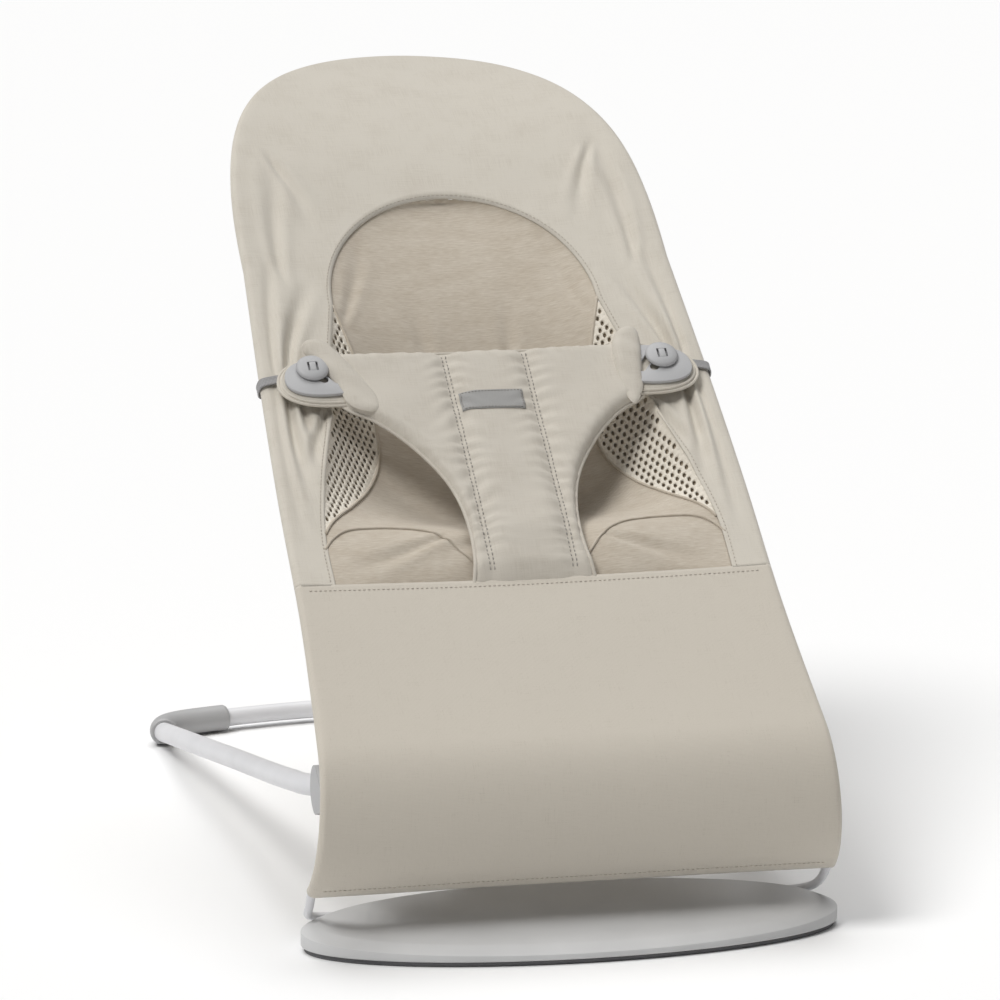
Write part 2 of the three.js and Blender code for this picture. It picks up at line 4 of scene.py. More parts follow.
import bmesh
import bpy
import numpy as np
from mathutils import Matrix, Vector
from mathutils.geometry import delaunay_2d_cdt


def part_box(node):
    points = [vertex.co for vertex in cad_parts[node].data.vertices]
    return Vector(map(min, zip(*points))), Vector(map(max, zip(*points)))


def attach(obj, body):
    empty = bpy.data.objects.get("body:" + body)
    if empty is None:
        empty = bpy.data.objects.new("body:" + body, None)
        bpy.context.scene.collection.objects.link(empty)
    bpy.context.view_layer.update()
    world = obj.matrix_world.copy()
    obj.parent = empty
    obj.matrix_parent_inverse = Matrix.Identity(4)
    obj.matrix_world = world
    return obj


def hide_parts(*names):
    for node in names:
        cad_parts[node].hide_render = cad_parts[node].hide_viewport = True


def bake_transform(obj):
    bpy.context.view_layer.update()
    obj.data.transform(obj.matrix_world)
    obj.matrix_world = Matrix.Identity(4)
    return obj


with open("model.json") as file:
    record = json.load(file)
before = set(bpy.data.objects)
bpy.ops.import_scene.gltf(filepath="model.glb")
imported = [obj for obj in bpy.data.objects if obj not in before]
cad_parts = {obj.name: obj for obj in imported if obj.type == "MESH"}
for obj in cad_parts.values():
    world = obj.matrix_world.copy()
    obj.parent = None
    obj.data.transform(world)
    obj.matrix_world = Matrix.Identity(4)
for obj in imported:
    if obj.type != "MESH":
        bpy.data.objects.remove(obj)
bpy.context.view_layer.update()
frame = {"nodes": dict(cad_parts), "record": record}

MM = 0.001
JOINTS = {joint["name"]: joint for joint in frame["record"]["behaviour"]["joints"]}

# ------------------------------------------------------------------------------------------------
# Camera and stage
# The camera looks CAMERA_TURN to the right of the seat's length and CAMERA_DROP downwards, in degrees.
CAMERA_POSITION = (-0.9913, -4.4452, 1.1568)
CAMERA_TURN = 12.82
CAMERA_DROP = 11.15
CAMERA_LENS = 218.97


def look_direction(turn, drop):
    turn, drop = math.radians(turn), math.radians(drop)
    return Vector((math.sin(turn) * math.cos(drop), math.cos(turn) * math.cos(drop), -math.sin(drop)))


def add_camera():
    data = bpy.data.cameras.new("camera")
    data.lens = CAMERA_LENS
    data.sensor_width = 36
    data.clip_end = 50
    camera = bpy.data.objects.new("camera", data)
    bpy.context.collection.objects.link(camera)
    camera.location = CAMERA_POSITION
    camera.rotation_euler = look_direction(CAMERA_TURN, CAMERA_DROP).to_track_quat("-Z", "Y").to_euler()
    bpy.context.scene.camera = camera


def add_sun(name, turn, height, strength, softness, colour=(1, 1, 1)):
    """Distant soft light from a turn about the vertical and a height, both in degrees."""
    data = bpy.data.lights.new(name, "SUN")
    data.energy = strength
    data.angle = math.radians(softness)
    data.color = colour
    light = bpy.data.objects.new(name, data)
    bpy.context.collection.objects.link(light)
    light.rotation_euler = (-look_direction(turn + 180, -height)).to_track_quat("-Z", "Y").to_euler()


def add_stage():
    scene = bpy.context.scene
    scene.view_settings.view_transform = "Standard"
    world = bpy.data.worlds.new("studio")
    scene.world = world
    world.use_nodes = True
    background = world.node_tree.nodes["Background"]
    background.inputs["Color"].default_value = (1, 1, 1, 1)
    background.inputs["Strength"].default_value = 0.16
    floor_mesh = bpy.data.meshes.new("floor")
    reach = 30
    floor_mesh.from_pydata([(-reach, -reach, 0), (reach, -reach, 0), (reach, reach, 0), (-reach, reach, 0)],
                           [], [(0, 1, 2, 3)])
    floor = bpy.data.objects.new("floor", floor_mesh)
    bpy.context.collection.objects.link(floor)
    floor.data.materials.append(floor_material())
    add_sun("key_light", 66, 58, 1.7, 24, (1, 0.995, 0.985))
    add_sun("top_light", 185, 70, 1.55, 45)


def floor_material():
    made = bpy.data.materials.new("pale_floor")
    made.use_nodes = True
    shader = made.node_tree.nodes["Principled BSDF"]
    shader.inputs["Base Color"].default_value = (0.93, 0.93, 0.93, 1)
    shader.inputs["Roughness"].default_value = 0.9
    return made


# ------------------------------------------------------------------------------------------------
# Materials
def start_material(name, roughness, metallic=0.0, sheen=0.0):
    made = bpy.data.materials.new(name)
    made.use_nodes = True
    tree = made.node_tree
    shader = tree.nodes["Principled BSDF"]
    shader.inputs["Roughness"].default_value = roughness
    shader.inputs["Metallic"].default_value = metallic
    shader.inputs["Sheen Weight"].default_value = sheen
    shader.inputs["Sheen Roughness"].default_value = 0.5
    return made, tree, shader


def add_node(tree, kind, **inputs):
    made = tree.nodes.new(kind)
    for name, value in inputs.items():
        made.inputs[name.replace("_", " ")].default_value = value
    return made


def coordinates(tree, source, scale):
    place = tree.nodes.new("ShaderNodeTexCoord")
    mapping = tree.nodes.new("ShaderNodeMapping")
    mapping.inputs["Scale"].default_value = scale
    tree.links.new(place.outputs[source], mapping.inputs["Vector"])
    return mapping.outputs["Vector"]


def noise(tree, vector, scale, detail=2.0, roughness=0.5):
    made = add_node(tree, "ShaderNodeTexNoise", Scale=scale, Detail=detail, Roughness=roughness)
    tree.links.new(vector, made.inputs["Vector"])
    return made.outputs["Fac"]


def blend_colours(tree, factor, low, high, start=0.3, end=0.7):
    ramp = tree.nodes.new("ShaderNodeValToRGB")
    ramp.color_ramp.elements[0].position = start
    ramp.color_ramp.elements[0].color = (*low, 1)
    ramp.color_ramp.elements[1].position = end
    ramp.color_ramp.elements[1].color = (*high, 1)
    tree.links.new(factor, ramp.inputs["Fac"])
    return ramp.outputs["Color"]


def maths(tree, operation, first, second):
    made = tree.nodes.new("ShaderNodeMath")
    made.operation = operation
    for socket, value in zip(made.inputs, (first, second)):
        if isinstance(value, (int, float)):
            socket.default_value = value
        else:
            tree.links.new(value, socket)
    return made.outputs["Value"]


def multiply_colours(tree, first, second, amount):
    made = tree.nodes.new("ShaderNodeMix")
    made.data_type = "RGBA"
    made.blend_type = "MULTIPLY"
    made.inputs["Factor"].default_value = amount
    tree.links.new(first, made.inputs["A"])
    tree.links.new(second, made.inputs["B"])
    return made.outputs["Result"]


def bump(tree, shader, height, distance, strength=1.0):
    made = add_node(tree, "ShaderNodeBump", Strength=strength, Distance=distance)
    tree.links.new(height, made.inputs["Height"])
    tree.links.new(made.outputs["Normal"], shader.inputs["Normal"])


def threads(tree, vector, axis, pitch):
    """Ridges of yarn that run across one axis of the cloth, one ridge in each pitch."""
    wave = add_node(tree, "ShaderNodeTexWave", Scale=1 / (pitch * 2 * math.pi) * 2, Distortion=0.0)
    wave.wave_type = "BANDS"
    wave.bands_direction = axis
    tree.links.new(vector, wave.inputs["Vector"])
    return wave.outputs["Fac"]


def woven(name, low, high, pitch, depth, slub=0.5):
    """Plain-woven cotton: crossing yarns, slightly uneven ones, and a soft mottle in the dye."""
    made, tree, shader = start_material(name, 0.86, sheen=0.25)
    flat = coordinates(tree, "UV", (1, 1, 1))
    warp = threads(tree, flat, "X", pitch)
    weft = threads(tree, flat, "Y", pitch)
    weave = maths(tree, "MULTIPLY", warp, weft)
    slub_across = noise(tree, coordinates(tree, "UV", (60, 1600, 1)), 1.0, 2)
    slub_along = noise(tree, coordinates(tree, "UV", (1600, 60, 1)), 1.0, 2)
    slubs = maths(tree, "ADD", slub_across, slub_along)
    mottle = noise(tree, flat, 34, 4)
    tone = maths(tree, "ADD", maths(tree, "MULTIPLY", slubs, slub), maths(tree, "MULTIPLY", mottle, 1 - slub))
    colour = blend_colours(tree, tone, low, high, 0.42, 0.78)
    shade = blend_colours(tree, weave, (0.9, 0.9, 0.9), (1, 1, 1), 0.0, 0.5)
    tree.links.new(multiply_colours(tree, colour, shade, 0.8), shader.inputs["Base Color"])
    height = maths(tree, "ADD", weave, maths(tree, "MULTIPLY", slubs, 0.6))
    bump(tree, shader, height, depth, 0.7)
    return made


def heathered(name, low, high):
    """Melange jersey: fine ribs of loops with short streaks of lighter and darker yarn across."""
    made, tree, shader = start_material(name, 0.92, sheen=0.35)
    streak = noise(tree, coordinates(tree, "UV", (120, 950, 1)), 1.0, 4, 0.6)
    mottle = noise(tree, coordinates(tree, "UV", (30, 90, 1)), 1.0, 3)
    tone = maths(tree, "ADD", maths(tree, "MULTIPLY", streak, 0.72), maths(tree, "MULTIPLY", mottle, 0.28))
    tree.links.new(blend_colours(tree, tone, low, high, 0.36, 0.66), shader.inputs["Base Color"])
    flat = coordinates(tree, "UV", (1, 1, 1))
    loops = maths(tree, "MULTIPLY", threads(tree, flat, "X", 0.0009), threads(tree, flat, "Y", 0.0007))
    bump(tree, shader, maths(tree, "ADD", loops, streak), 0.00025, 0.8)
    return made


def knitted(name, low, high):
    """Thick yarn of the open mesh."""
    made, tree, shader = start_material(name, 0.85, sheen=0.3)
    fibre = noise(tree, coordinates(tree, "Object", (1, 1, 1)), 1500, 3)
    tree.links.new(blend_colours(tree, fibre, low, high), shader.inputs["Base Color"])
    bump(tree, shader, fibre, 0.0003, 0.8)
    return made


def ribbed(name, low, high, pitch):
    """Flat webbing or thread with ribs across it."""
    made, tree, shader = start_material(name, 0.75, sheen=0.15)
    flat = coordinates(tree, "UV", (1, 1, 1))
    ribs = maths(tree, "MULTIPLY", threads(tree, flat, "X", pitch), threads(tree, flat, "Y", pitch * 1.6))
    tree.links.new(blend_colours(tree, ribs, low, high, 0.0, 0.7), shader.inputs["Base Color"])
    bump(tree, shader, ribs, 0.0003, 0.9)
    return made


def moulded(name, low, high, grain, depth, roughness):
    """Matt moulded plastic, rubber or powder coat: a fine even grain and a faint change of tone."""
    made, tree, shader = start_material(name, roughness)
    place = coordinates(tree, "Object", (1, 1, 1))
    tree.links.new(blend_colours(tree, noise(tree, place, 18, 3), low, high), shader.inputs["Base Color"])
    speck = noise(tree, place, grain, 2)
    bump(tree, shader, speck, depth, 0.5)
    gloss = tree.nodes.new("ShaderNodeMapRange")
    gloss.inputs["To Min"].default_value = roughness - 0.08
    gloss.inputs["To Max"].default_value = roughness + 0.08
    tree.links.new(speck, gloss.inputs["Value"])
    tree.links.new(gloss.outputs["Result"], shader.inputs["Roughness"])
    return made


def brushed(name, low, high):
    made, tree, shader = start_material(name, 0.35, metallic=1.0)
    lines = noise(tree, coordinates(tree, "Object", (3000, 60, 60)), 1.0, 2)
    tree.links.new(blend_colours(tree, lines, low, high), shader.inputs["Base Color"])
    bump(tree, shader, lines, 0.0001, 0.4)
    return made


COTTON = woven("cotton_weave", (0.565, 0.515, 0.435), (0.665, 0.62, 0.54), 0.0007, 0.00012)
LINEN = woven("leg_rest_weave", (0.50, 0.45, 0.375), (0.62, 0.57, 0.49), 0.0009, 0.00016, 0.75)
JERSEY = heathered("jersey_melange", (0.52, 0.445, 0.35), (0.665, 0.60, 0.505))
AIR_MESH = knitted("air_mesh_yarn", (0.72, 0.66, 0.56), (0.86, 0.81, 0.72))
MESH_BACK = knitted("air_mesh_back", (0.42, 0.35, 0.26), (0.52, 0.45, 0.35))
WEBBING = ribbed("grey_webbing", (0.26, 0.255, 0.255), (0.44, 0.435, 0.435), 0.0011)
THREAD = ribbed("grey_thread", (0.30, 0.28, 0.25), (0.42, 0.395, 0.36), 0.0005)
# The restraint's cloth is the border's cotton at 0.93 of its colour: the darkening is painted shade on the
# restraint's forward-facing front.
SHADED_RESTRAINT_COTTON = woven("restraint_cotton_painted_shade", (0.525, 0.475, 0.40), (0.62, 0.575, 0.50), 0.0007, 0.00012)
PALE_THREAD = ribbed("beige_thread", (0.50, 0.45, 0.38), (0.60, 0.55, 0.48), 0.0005)
PATCH = ribbed("grey_patch", (0.34, 0.335, 0.325), (0.46, 0.455, 0.445), 0.0006)
PLASTIC = moulded("grey_plastic", (0.40, 0.40, 0.405), (0.45, 0.45, 0.455), 2600, 0.00006, 0.5)
PLATE = moulded("plate_plastic", (0.60, 0.60, 0.60), (0.65, 0.65, 0.65), 1800, 0.0001, 0.62)
PAINT = moulded("powder_coat", (0.72, 0.72, 0.74), (0.78, 0.78, 0.80), 3500, 0.00003, 0.42)
RUBBER = moulded("grey_rubber", (0.13, 0.13, 0.135), (0.17, 0.17, 0.175), 1200, 0.0001, 0.8)
STEEL = brushed("zinc_steel", (0.50, 0.51, 0.52), (0.68, 0.69, 0.70))

# ------------------------------------------------------------------------------------------------
# The seat's side profile, tied to the hinge that stands for the spring of the wire
SLOPE = math.radians(36)
BEND_RADIUS = 64 * MM
HEAD_RADIUS = 372 * MM
STRAIGHT = 575.5 * MM
SPLIT_S = -12 * MM
HEM_S = -120 * MM
SEAM_S = 152 * MM
ARCH_START_S = 480 * MM
TOP_S = 775 * MM
ARCH_HALF = 166 * MM
EDGE_INSET = 4.5 * MM
WIRE_RADIUS = 3.25 * MM

PIVOT = Vector(JOINTS["seat_bounce"]["pos_m"])
SPLIT_SLOPE = SLOPE - SPLIT_S / BEND_RADIUS
BEND_Y = PIVOT.y + BEND_RADIUS * math.sin(SPLIT_SLOPE)
BEND_Z = PIVOT.z - BEND_RADIUS * math.cos(SPLIT_SLOPE)


def seat(x, s, lift=0.0):
    """Points on the seat: x across, s along the profile, lift out of it towards the child."""
    x, s, lift = np.broadcast_arrays(np.asarray(x, float), np.asarray(s, float), np.asarray(lift, float))
    slope = SLOPE - np.minimum(s, 0) / BEND_RADIUS - np.maximum(s - STRAIGHT, 0) / HEAD_RADIUS
    low = np.minimum(s, 0)
    bend_slope = SLOPE - low / BEND_RADIUS
    y = BEND_Y - BEND_RADIUS * np.sin(bend_slope)
    z = BEND_Z + BEND_RADIUS * np.cos(bend_slope)
    along = np.clip(s, 0, STRAIGHT)
    y = y + along * math.cos(SLOPE)
    z = z + along * math.sin(SLOPE)
    head = np.minimum(slope, SLOPE)
    y = y + np.where(s > STRAIGHT, HEAD_RADIUS * (math.sin(SLOPE) - np.sin(head)), 0)
    z = z + np.where(s > STRAIGHT, HEAD_RADIUS * (np.cos(head) - math.cos(SLOPE)), 0)
    return np.stack([x, y - lift * np.sin(slope), z + lift * np.cos(slope)], axis=-1)


def smooth_through(stations):
    """Smooth curve through a few (s, value) stations, in millimetres, as a function in metres."""
    at = np.array(stations, float) * MM
    slopes = np.gradient(at[:, 1], at[:, 0])

    def value(s):
        s = np.clip(np.asarray(s, float), at[0, 0], at[-1, 0])
        i = np.clip(np.searchsorted(at[:, 0], s) - 1, 0, len(at) - 2)
        span = at[i + 1, 0] - at[i, 0]
        t = (s - at[i, 0]) / span
        rise = at[i + 1, 1] - at[i, 1]
        a = slopes[i] * span - rise
        b = -slopes[i + 1] * span + rise
        return (1 - t) * at[i, 1] + t * at[i + 1, 1] + t * (1 - t) * ((1 - t) * a + t * b)
    return value


side_half = smooth_through([(-160, 197), (-120, 195), (0, 186.5), (120, 179.5), (240, 177), (360, 172.3),
                            (480, 166)])
opening_side = smooth_through([(140, 149), (203, 148), (260, 139), (328, 123), (395, 112), (441, 103)])
jersey_side = smooth_through([(140, 149), (205, 147), (246, 118), (272, 101), (298, 89), (325, 83.5),
                              (350, 83.5), (395, 91), (441, 103)])
OPENING_ARCH_S = 441 * MM
OPENING_TOP_S = 556 * MM


def opening_half(s):
    s = np.asarray(s, float)
    turn = np.clip((s - OPENING_ARCH_S) / (OPENING_TOP_S - OPENING_ARCH_S), 0, 1)
    arch = opening_side(OPENING_ARCH_S) * np.sqrt(1 - turn ** 2)
    return np.where(s <= OPENING_ARCH_S, opening_side(s), arch)


def jersey_half(s):
    s = np.asarray(s, float)
    return np.where(s <= OPENING_ARCH_S, np.minimum(jersey_side(s), opening_half(s)), opening_half(s))


pan_depth = smooth_through([(150, 4), (172, -3), (192, -5), (206, 0), (220, 12), (238, 28), (258, 40),
                            (285, 47), (320, 47), (370, 36), (430, 20), (500, 8), (556, 4)])


def ripple(x, s, seed, wavelength, count=7):
    """Soft uneven surface: a few waves of about one length, in fixed random directions."""
    rng = np.random.default_rng(seed)
    total = np.zeros(np.broadcast(x, s).shape)
    for _ in range(count):
        angle, phase = rng.uniform(0, math.pi), rng.uniform(0, 2 * math.pi)
        length = wavelength * rng.uniform(0.7, 1.5)
        along = x * math.cos(angle) + s * math.sin(angle)
        total = total + np.sin(2 * math.pi * along / length + phase)
    return total / count


def fold(x, s, start, end, width, depth, bow=0.0):
    """One soft crease from start to end, both (x, s) in millimetres. It widens and fades along its length."""
    (x0, s0), (x1, s1) = np.array(start) * MM, np.array(end) * MM
    length = math.hypot(x1 - x0, s1 - s0)
    ux, us = (x1 - x0) / length, (s1 - s0) / length
    t = ((x - x0) * ux + (s - s0) * us) / length
    away = (x - x0) * -us + (s - s0) * ux - bow * MM * 4 * t * (1 - t)
    spread = width * MM * (0.55 + 0.9 * np.clip(t, 0, 1))
    fade = np.clip((t + 0.06) / 0.14, 0, 1) * np.clip((1 - t) / 0.55, 0, 1)
    ridge = np.exp(-((away - 1.7 * spread) / spread) ** 2) + np.exp(-((away + 1.7 * spread) / spread) ** 2)
    return depth * MM * fade * (0.45 * ridge - np.exp(-(away / spread) ** 2))


# ------------------------------------------------------------------------------------------------
# Mesh helpers
def make_object(name, points, faces, material, flat=None, smooth=True):
    mesh = bpy.data.meshes.new(name)
    mesh.from_pydata([tuple(p) for p in np.asarray(points).reshape(-1, 3)], [], faces)
    mesh.update()
    if flat is not None:
        layer = mesh.uv_layers.new(name="flat_cloth")
        flat = np.asarray(flat, float).reshape(-1, 2)
        index = np.zeros(len(mesh.loops), int)
        mesh.loops.foreach_get("vertex_index", index)
        layer.data.foreach_set("uv", flat[index].ravel())
    made = bpy.data.objects.new(name, mesh)
    bpy.context.collection.objects.link(made)
    made.data.materials.append(material)
    if smooth:
        mesh.polygons.foreach_set("use_smooth", [True] * len(mesh.polygons))
    return made


def settle(made, slot, body, *stands_for):
    """Material slot of a piece, which is not used; the body it rides on; and the CAD nodes that it stands
    for, if any.
    """
    if stands_for:
        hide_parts(*stands_for)
    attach(made, body)


def grid_faces(rows, columns, loop=False, start=0):
    faces = []
    for i in range(rows - 1):
        for j in range(columns if loop else columns - 1):
            k = (j + 1) % columns
            faces.append((start + i * columns + j, start + i * columns + k,
                          start + (i + 1) * columns + k, start + (i + 1) * columns + j))
    return faces


def slab_faces(rows, columns):
    """Faces of a slab: a grid of points, a second grid behind it, and the rim between them."""
    count = rows * columns
    front = grid_faces(rows, columns)
    rim = list(range(columns)) + [i * columns + columns - 1 for i in range(1, rows)]
    rim += [(rows - 1) * columns + j for j in range(columns - 2, -1, -1)]
    rim += [i * columns for i in range(rows - 2, 0, -1)]
    back = [tuple(i + count for i in reversed(face)) for face in front]
    return front + back + [(a + count, b + count, b, a) for a, b in zip(rim, rim[1:] + rim[:1])]


def barrel_faces(rings, sides, start=0):
    """Faces of a closed bar: rings of points with a cap on the first and on the last ring."""
    faces = grid_faces(rings, sides, loop=True, start=start)
    faces.append(tuple(range(start + sides - 1, start - 1, -1)))
    faces.append(tuple(range(start + (rings - 1) * sides, start + rings * sides)))
    return faces


def turned_out(made):
    """Face every polygon of a closed mesh outwards."""
    work = bmesh.new()
    work.from_mesh(made.data)
    bmesh.ops.remove_doubles(work, verts=work.verts, dist=1e-6)
    bmesh.ops.recalc_face_normals(work, faces=work.faces)
    work.to_mesh(made.data)
    work.free()
    return made


def thick_sheet(name, x, s, lift, material, thickness=1.1 * MM):
    """Cloth from grids of x, s and lift, with a front and a back face joined all round its edge."""
    front = seat(x, s, lift)
    across = np.gradient(front, axis=1)
    along = np.gradient(front, axis=0)
    normal = np.cross(across, along)
    normal /= np.maximum(np.linalg.norm(normal, axis=-1, keepdims=True), 1e-12)
    back = front - normal * thickness
    flat = np.stack([x, s], axis=-1)
    return make_object(name, np.concatenate([front.reshape(-1, 3), back.reshape(-1, 3)]),
                       slab_faces(*x.shape), material, np.concatenate([flat.reshape(-1, 2)] * 2))


def tube(name, points, radius, material, sides=20, close_ends=True, radii=None):
    """Round bar along a smooth list of points."""
    points = np.asarray(points, float)
    tangent = np.gradient(points, axis=0)
    tangent /= np.linalg.norm(tangent, axis=1, keepdims=True)
    side = np.cross(tangent[0], (0.1, 0.3, 1.0))
    turns = np.linspace(0, 2 * math.pi, sides, endpoint=False)
    rings = []
    for i, (point, direction) in enumerate(zip(points, tangent)):
        side = side - direction * (side @ direction)
        side /= np.linalg.norm(side)
        other = np.cross(direction, side)
        r = radius if radii is None else radii[i]
        rings.append(point + r * (np.cos(turns)[:, None] * side + np.sin(turns)[:, None] * other))
    faces = barrel_faces(len(points), sides)
    if not close_ends:
        faces = faces[:-2]
    lengths = lengths_along(points)
    flat = [(length, turn * radius) for length in lengths for turn in turns]
    return make_object(name, np.array(rings), faces, material, flat)


def lengths_along(points):
    """Length of the path up to each of its points."""
    return np.concatenate([[0], np.cumsum(np.linalg.norm(np.diff(points, axis=0), axis=1))])


def even_path(points, count):
    """The same curve as a list of equally spaced points."""
    points = np.asarray(points, float)
    lengths = lengths_along(points)
    wanted = np.linspace(0, lengths[-1], count)
    return np.stack([np.interp(wanted, lengths, points[:, k]) for k in range(3)], axis=1)


def spline(points, count):
    """Catmull-Rom curve through a few points."""
    p = np.asarray(points, float)
    p = np.vstack([2 * p[0] - p[1], p, 2 * p[-1] - p[-2]])
    out = []
    per = max(count // (len(p) - 3), 4)
    for i in range(1, len(p) - 2):
        for t in np.linspace(0, 1, per, endpoint=False):
            out.append(0.5 * (2 * p[i] + (p[i + 1] - p[i - 1]) * t
                              + (2 * p[i - 1] - 5 * p[i] + 4 * p[i + 1] - p[i + 2]) * t ** 2
                              + (3 * p[i] - p[i - 1] - 3 * p[i + 1] + p[i + 2]) * t ** 3))
    out.append(p[-2])
    return even_path(out, count)


def bezier(start, first, second, end, count):
    """Cubic curve from start to end, steered by two points."""
    t = np.linspace(0, 1, count)[:, None]
    start, first, second, end = (np.array(point, float) for point in (start, first, second, end))
    return (1 - t) ** 3 * start + 3 * t * (1 - t) ** 2 * first + 3 * t * t * (1 - t) * second + t ** 3 * end


def stitch_line(name, flat_path, lift_at, material, stitch=2.6 * MM, space=1.0 * MM, radius=0.42 * MM):
    """Row of sewn stitches along a path on the flattened seat, each a small rounded grain of thread."""
    path = np.asarray(flat_path, float)
    lengths = lengths_along(path)
    points, faces, flats = [], [], []
    sides, rings = 6, (-1, -0.75, 0, 0.75, 1)
    swell = (0.25, 0.8, 1.0, 0.8, 0.25)
    centre = space
    while centre + stitch < lengths[-1]:
        places = centre + stitch * (0.5 + 0.5 * np.array(rings))
        x = np.interp(places, lengths, path[:, 0])
        s = np.interp(places, lengths, path[:, 1])
        lift = lift_at(x, s) + radius * np.array((-1.0, 0.1, 0.6, 0.1, -1.0))
        base = seat(x, s, lift)
        heading = base[-1] - base[0]
        heading /= np.linalg.norm(heading)
        up = seat(x[2], s[2], lift[2] + 1e-3) - base[2]
        up /= np.linalg.norm(up)
        side = np.cross(heading, up)
        start = len(points)
        for ring, size in zip(base, swell):
            for turn in np.linspace(0, 2 * math.pi, sides, endpoint=False):
                points.append(ring + radius * size * (math.cos(turn) * side + math.sin(turn) * up))
                flats.append((centre, turn * radius))
        faces += barrel_faces(len(rings), sides, start)
        centre += stitch + space
    return turned_out(make_object(name, points, faces, material, flats))


def pad_from_outline(name, outline, spacing, height_at, material, base_at, rim=5 * MM):
    """Stuffed pad with any outline on the flattened seat: its two faces meet in a rounded rim."""
    outline = np.asarray(outline, float)
    lo, hi = outline.min(0), outline.max(0)
    xs = np.arange(lo[0] + spacing / 2, hi[0], spacing)
    ss = np.arange(lo[1] + spacing / 2, hi[1], spacing)
    inner = []
    nudge = np.random.default_rng(5).uniform(-0.12, 0.12, (len(ss), len(xs), 2)) * spacing
    for i, s_value in enumerate(ss):
        for j, x_value in enumerate(xs):
            inner.append((x_value + (i % 2) * spacing / 2 + nudge[i, j, 0], s_value + nudge[i, j, 1]))
    inner = np.array(inner)
    edge_distance, inside = distance_to(outline, inner)
    inner = inner[inside & (edge_distance > spacing * 0.45)]
    points = np.vstack([outline, inner])
    edges = [(i, (i + 1) % len(outline)) for i in range(len(outline))]
    verts, _, faces, *_ = delaunay_2d_cdt([Vector(p) for p in points], edges, [], 1, 1e-9)
    flat = np.array([tuple(v) for v in verts])
    distance, _ = distance_to(outline, flat)
    bulge = np.sqrt(np.clip(1 - (1 - np.clip(distance / rim, 0, 1)) ** 2, 0, 1))
    middle = base_at(flat[:, 0], flat[:, 1])
    half = 0.5 * height_at(flat[:, 0], flat[:, 1], distance) * bulge
    top = seat(flat[:, 0], flat[:, 1], middle + half)
    bottom = seat(flat[:, 0], flat[:, 1], middle - half * 0.6)
    count = len(flat)
    all_faces = [tuple(f) for f in faces] + [tuple(i + count for i in reversed(f)) for f in faces]
    made = make_object(name, np.concatenate([top, bottom]), all_faces, material, np.concatenate([flat, flat]))
    return turned_out(made)


def distance_to(outline, points):
    """Distance of each point to a closed outline, and whether the point is inside it."""
    best = np.full(len(points), 1e9)
    inside = np.zeros(len(points), bool)
    for a, b in zip(outline, np.roll(outline, -1, axis=0)):
        edge = b - a
        t = np.clip(((points - a) @ edge) / max(edge @ edge, 1e-18), 0, 1)
        best = np.minimum(best, np.linalg.norm(points - (a + t[:, None] * edge), axis=1))
        crosses = (a[1] > points[:, 1]) != (b[1] > points[:, 1])
        reach = a[0] + (points[:, 1] - a[1]) * (b[0] - a[0]) / (b[1] - a[1] if b[1] != a[1] else 1e-18)
        inside ^= crosses & (points[:, 0] < reach)
    return best, inside


BOX_FACES = [(3, 2, 1, 0), (4, 5, 6, 7), (0, 1, 5, 4), (1, 2, 6, 5), (2, 3, 7, 6), (3, 0, 4, 7)]
SEAT_ORIGIN = Vector(seat(0, 0, 0))
SEAT_PLANE = Matrix((
    (1, 0, 0, SEAT_ORIGIN.x),
    (0, math.cos(SLOPE), -math.sin(SLOPE), SEAT_ORIGIN.y),
    (0, math.sin(SLOPE), math.cos(SLOPE), SEAT_ORIGIN.z),
    (0, 0, 0, 1)))


def cut_plate(name, outlines, thickness, bevel, rounding, place, material):
    """Rigid plate with bevelled edges: the first outline is its edge, the others are holes in it."""
    curve = bpy.data.curves.new(name, "CURVE")
    curve.dimensions = "2D"
    curve.fill_mode = "BOTH"
    for outline in outlines:
        line = curve.splines.new("POLY")
        line.points.add(len(outline) - 1)
        for point, (across, up) in zip(line.points, outline):
            point.co = (across, up, 0, 1)
        line.use_cyclic_u = True
    curve.extrude = thickness / 2 - bevel
    curve.bevel_depth = bevel
    curve.bevel_resolution = rounding
    curve.offset = -bevel
    holder = bpy.data.objects.new(name, curve)
    bpy.context.collection.objects.link(holder)
    mesh = bpy.data.meshes.new_from_object(holder.evaluated_get(bpy.context.evaluated_depsgraph_get()))
    bpy.data.objects.remove(holder)
    made = bpy.data.objects.new(name, mesh)
    bpy.context.collection.objects.link(made)
    mesh.transform(place)
    mesh.materials.clear()
    mesh.materials.append(material)
    turned_out(made)
    smooth_by_angle(made, 35)
    return made


def smooth_by_angle(made, degrees):
    with bpy.context.temp_override(object=made, active_object=made, selected_objects=[made],
                                   selected_editable_objects=[made]):
        bpy.ops.object.shade_smooth_by_angle(angle=math.radians(degrees))


def ellipse(centre, radii, count, start=0.0, turn=2 * math.pi):
    angles = start + np.linspace(0, turn, count, endpoint=abs(turn) < 6.28)
    return np.stack([centre[0] + radii[0] * np.cos(angles), centre[1] + radii[1] * np.sin(angles)], axis=1)


def slot_outline(centre, direction, length, radius):
    heading = np.array((math.cos(direction), math.sin(direction)))
    first = ellipse(centre, (radius, radius), 9, direction + math.pi / 2, math.pi)
    last = ellipse(centre + heading * length, (radius, radius), 9, direction - math.pi / 2, math.pi)
    return np.vstack([first, last])


# ------------------------------------------------------------------------------------------------
# Sling: border, leg rest, jersey pan and air mesh
SLEEVE_RADIUS = WIRE_RADIUS + 1.7 * MM
SLING_SAG = 9 * MM
HINGE = Vector(JOINTS["leg_fold"]["pos_m"])
FOOT_AXIS = Vector(JOINTS["foot_pivot"]["pos_m"])


def half_width(s):
    """Half width of the whole sling, up the sides and round the arch."""
    rise = np.clip((np.asarray(s, float) - ARCH_START_S) / (TOP_S - ARCH_START_S), 0, 1)
    return np.where(rise > 0, ARCH_HALF * (1 - rise ** 2.6) ** (0.5 / 0.95), side_half(s))


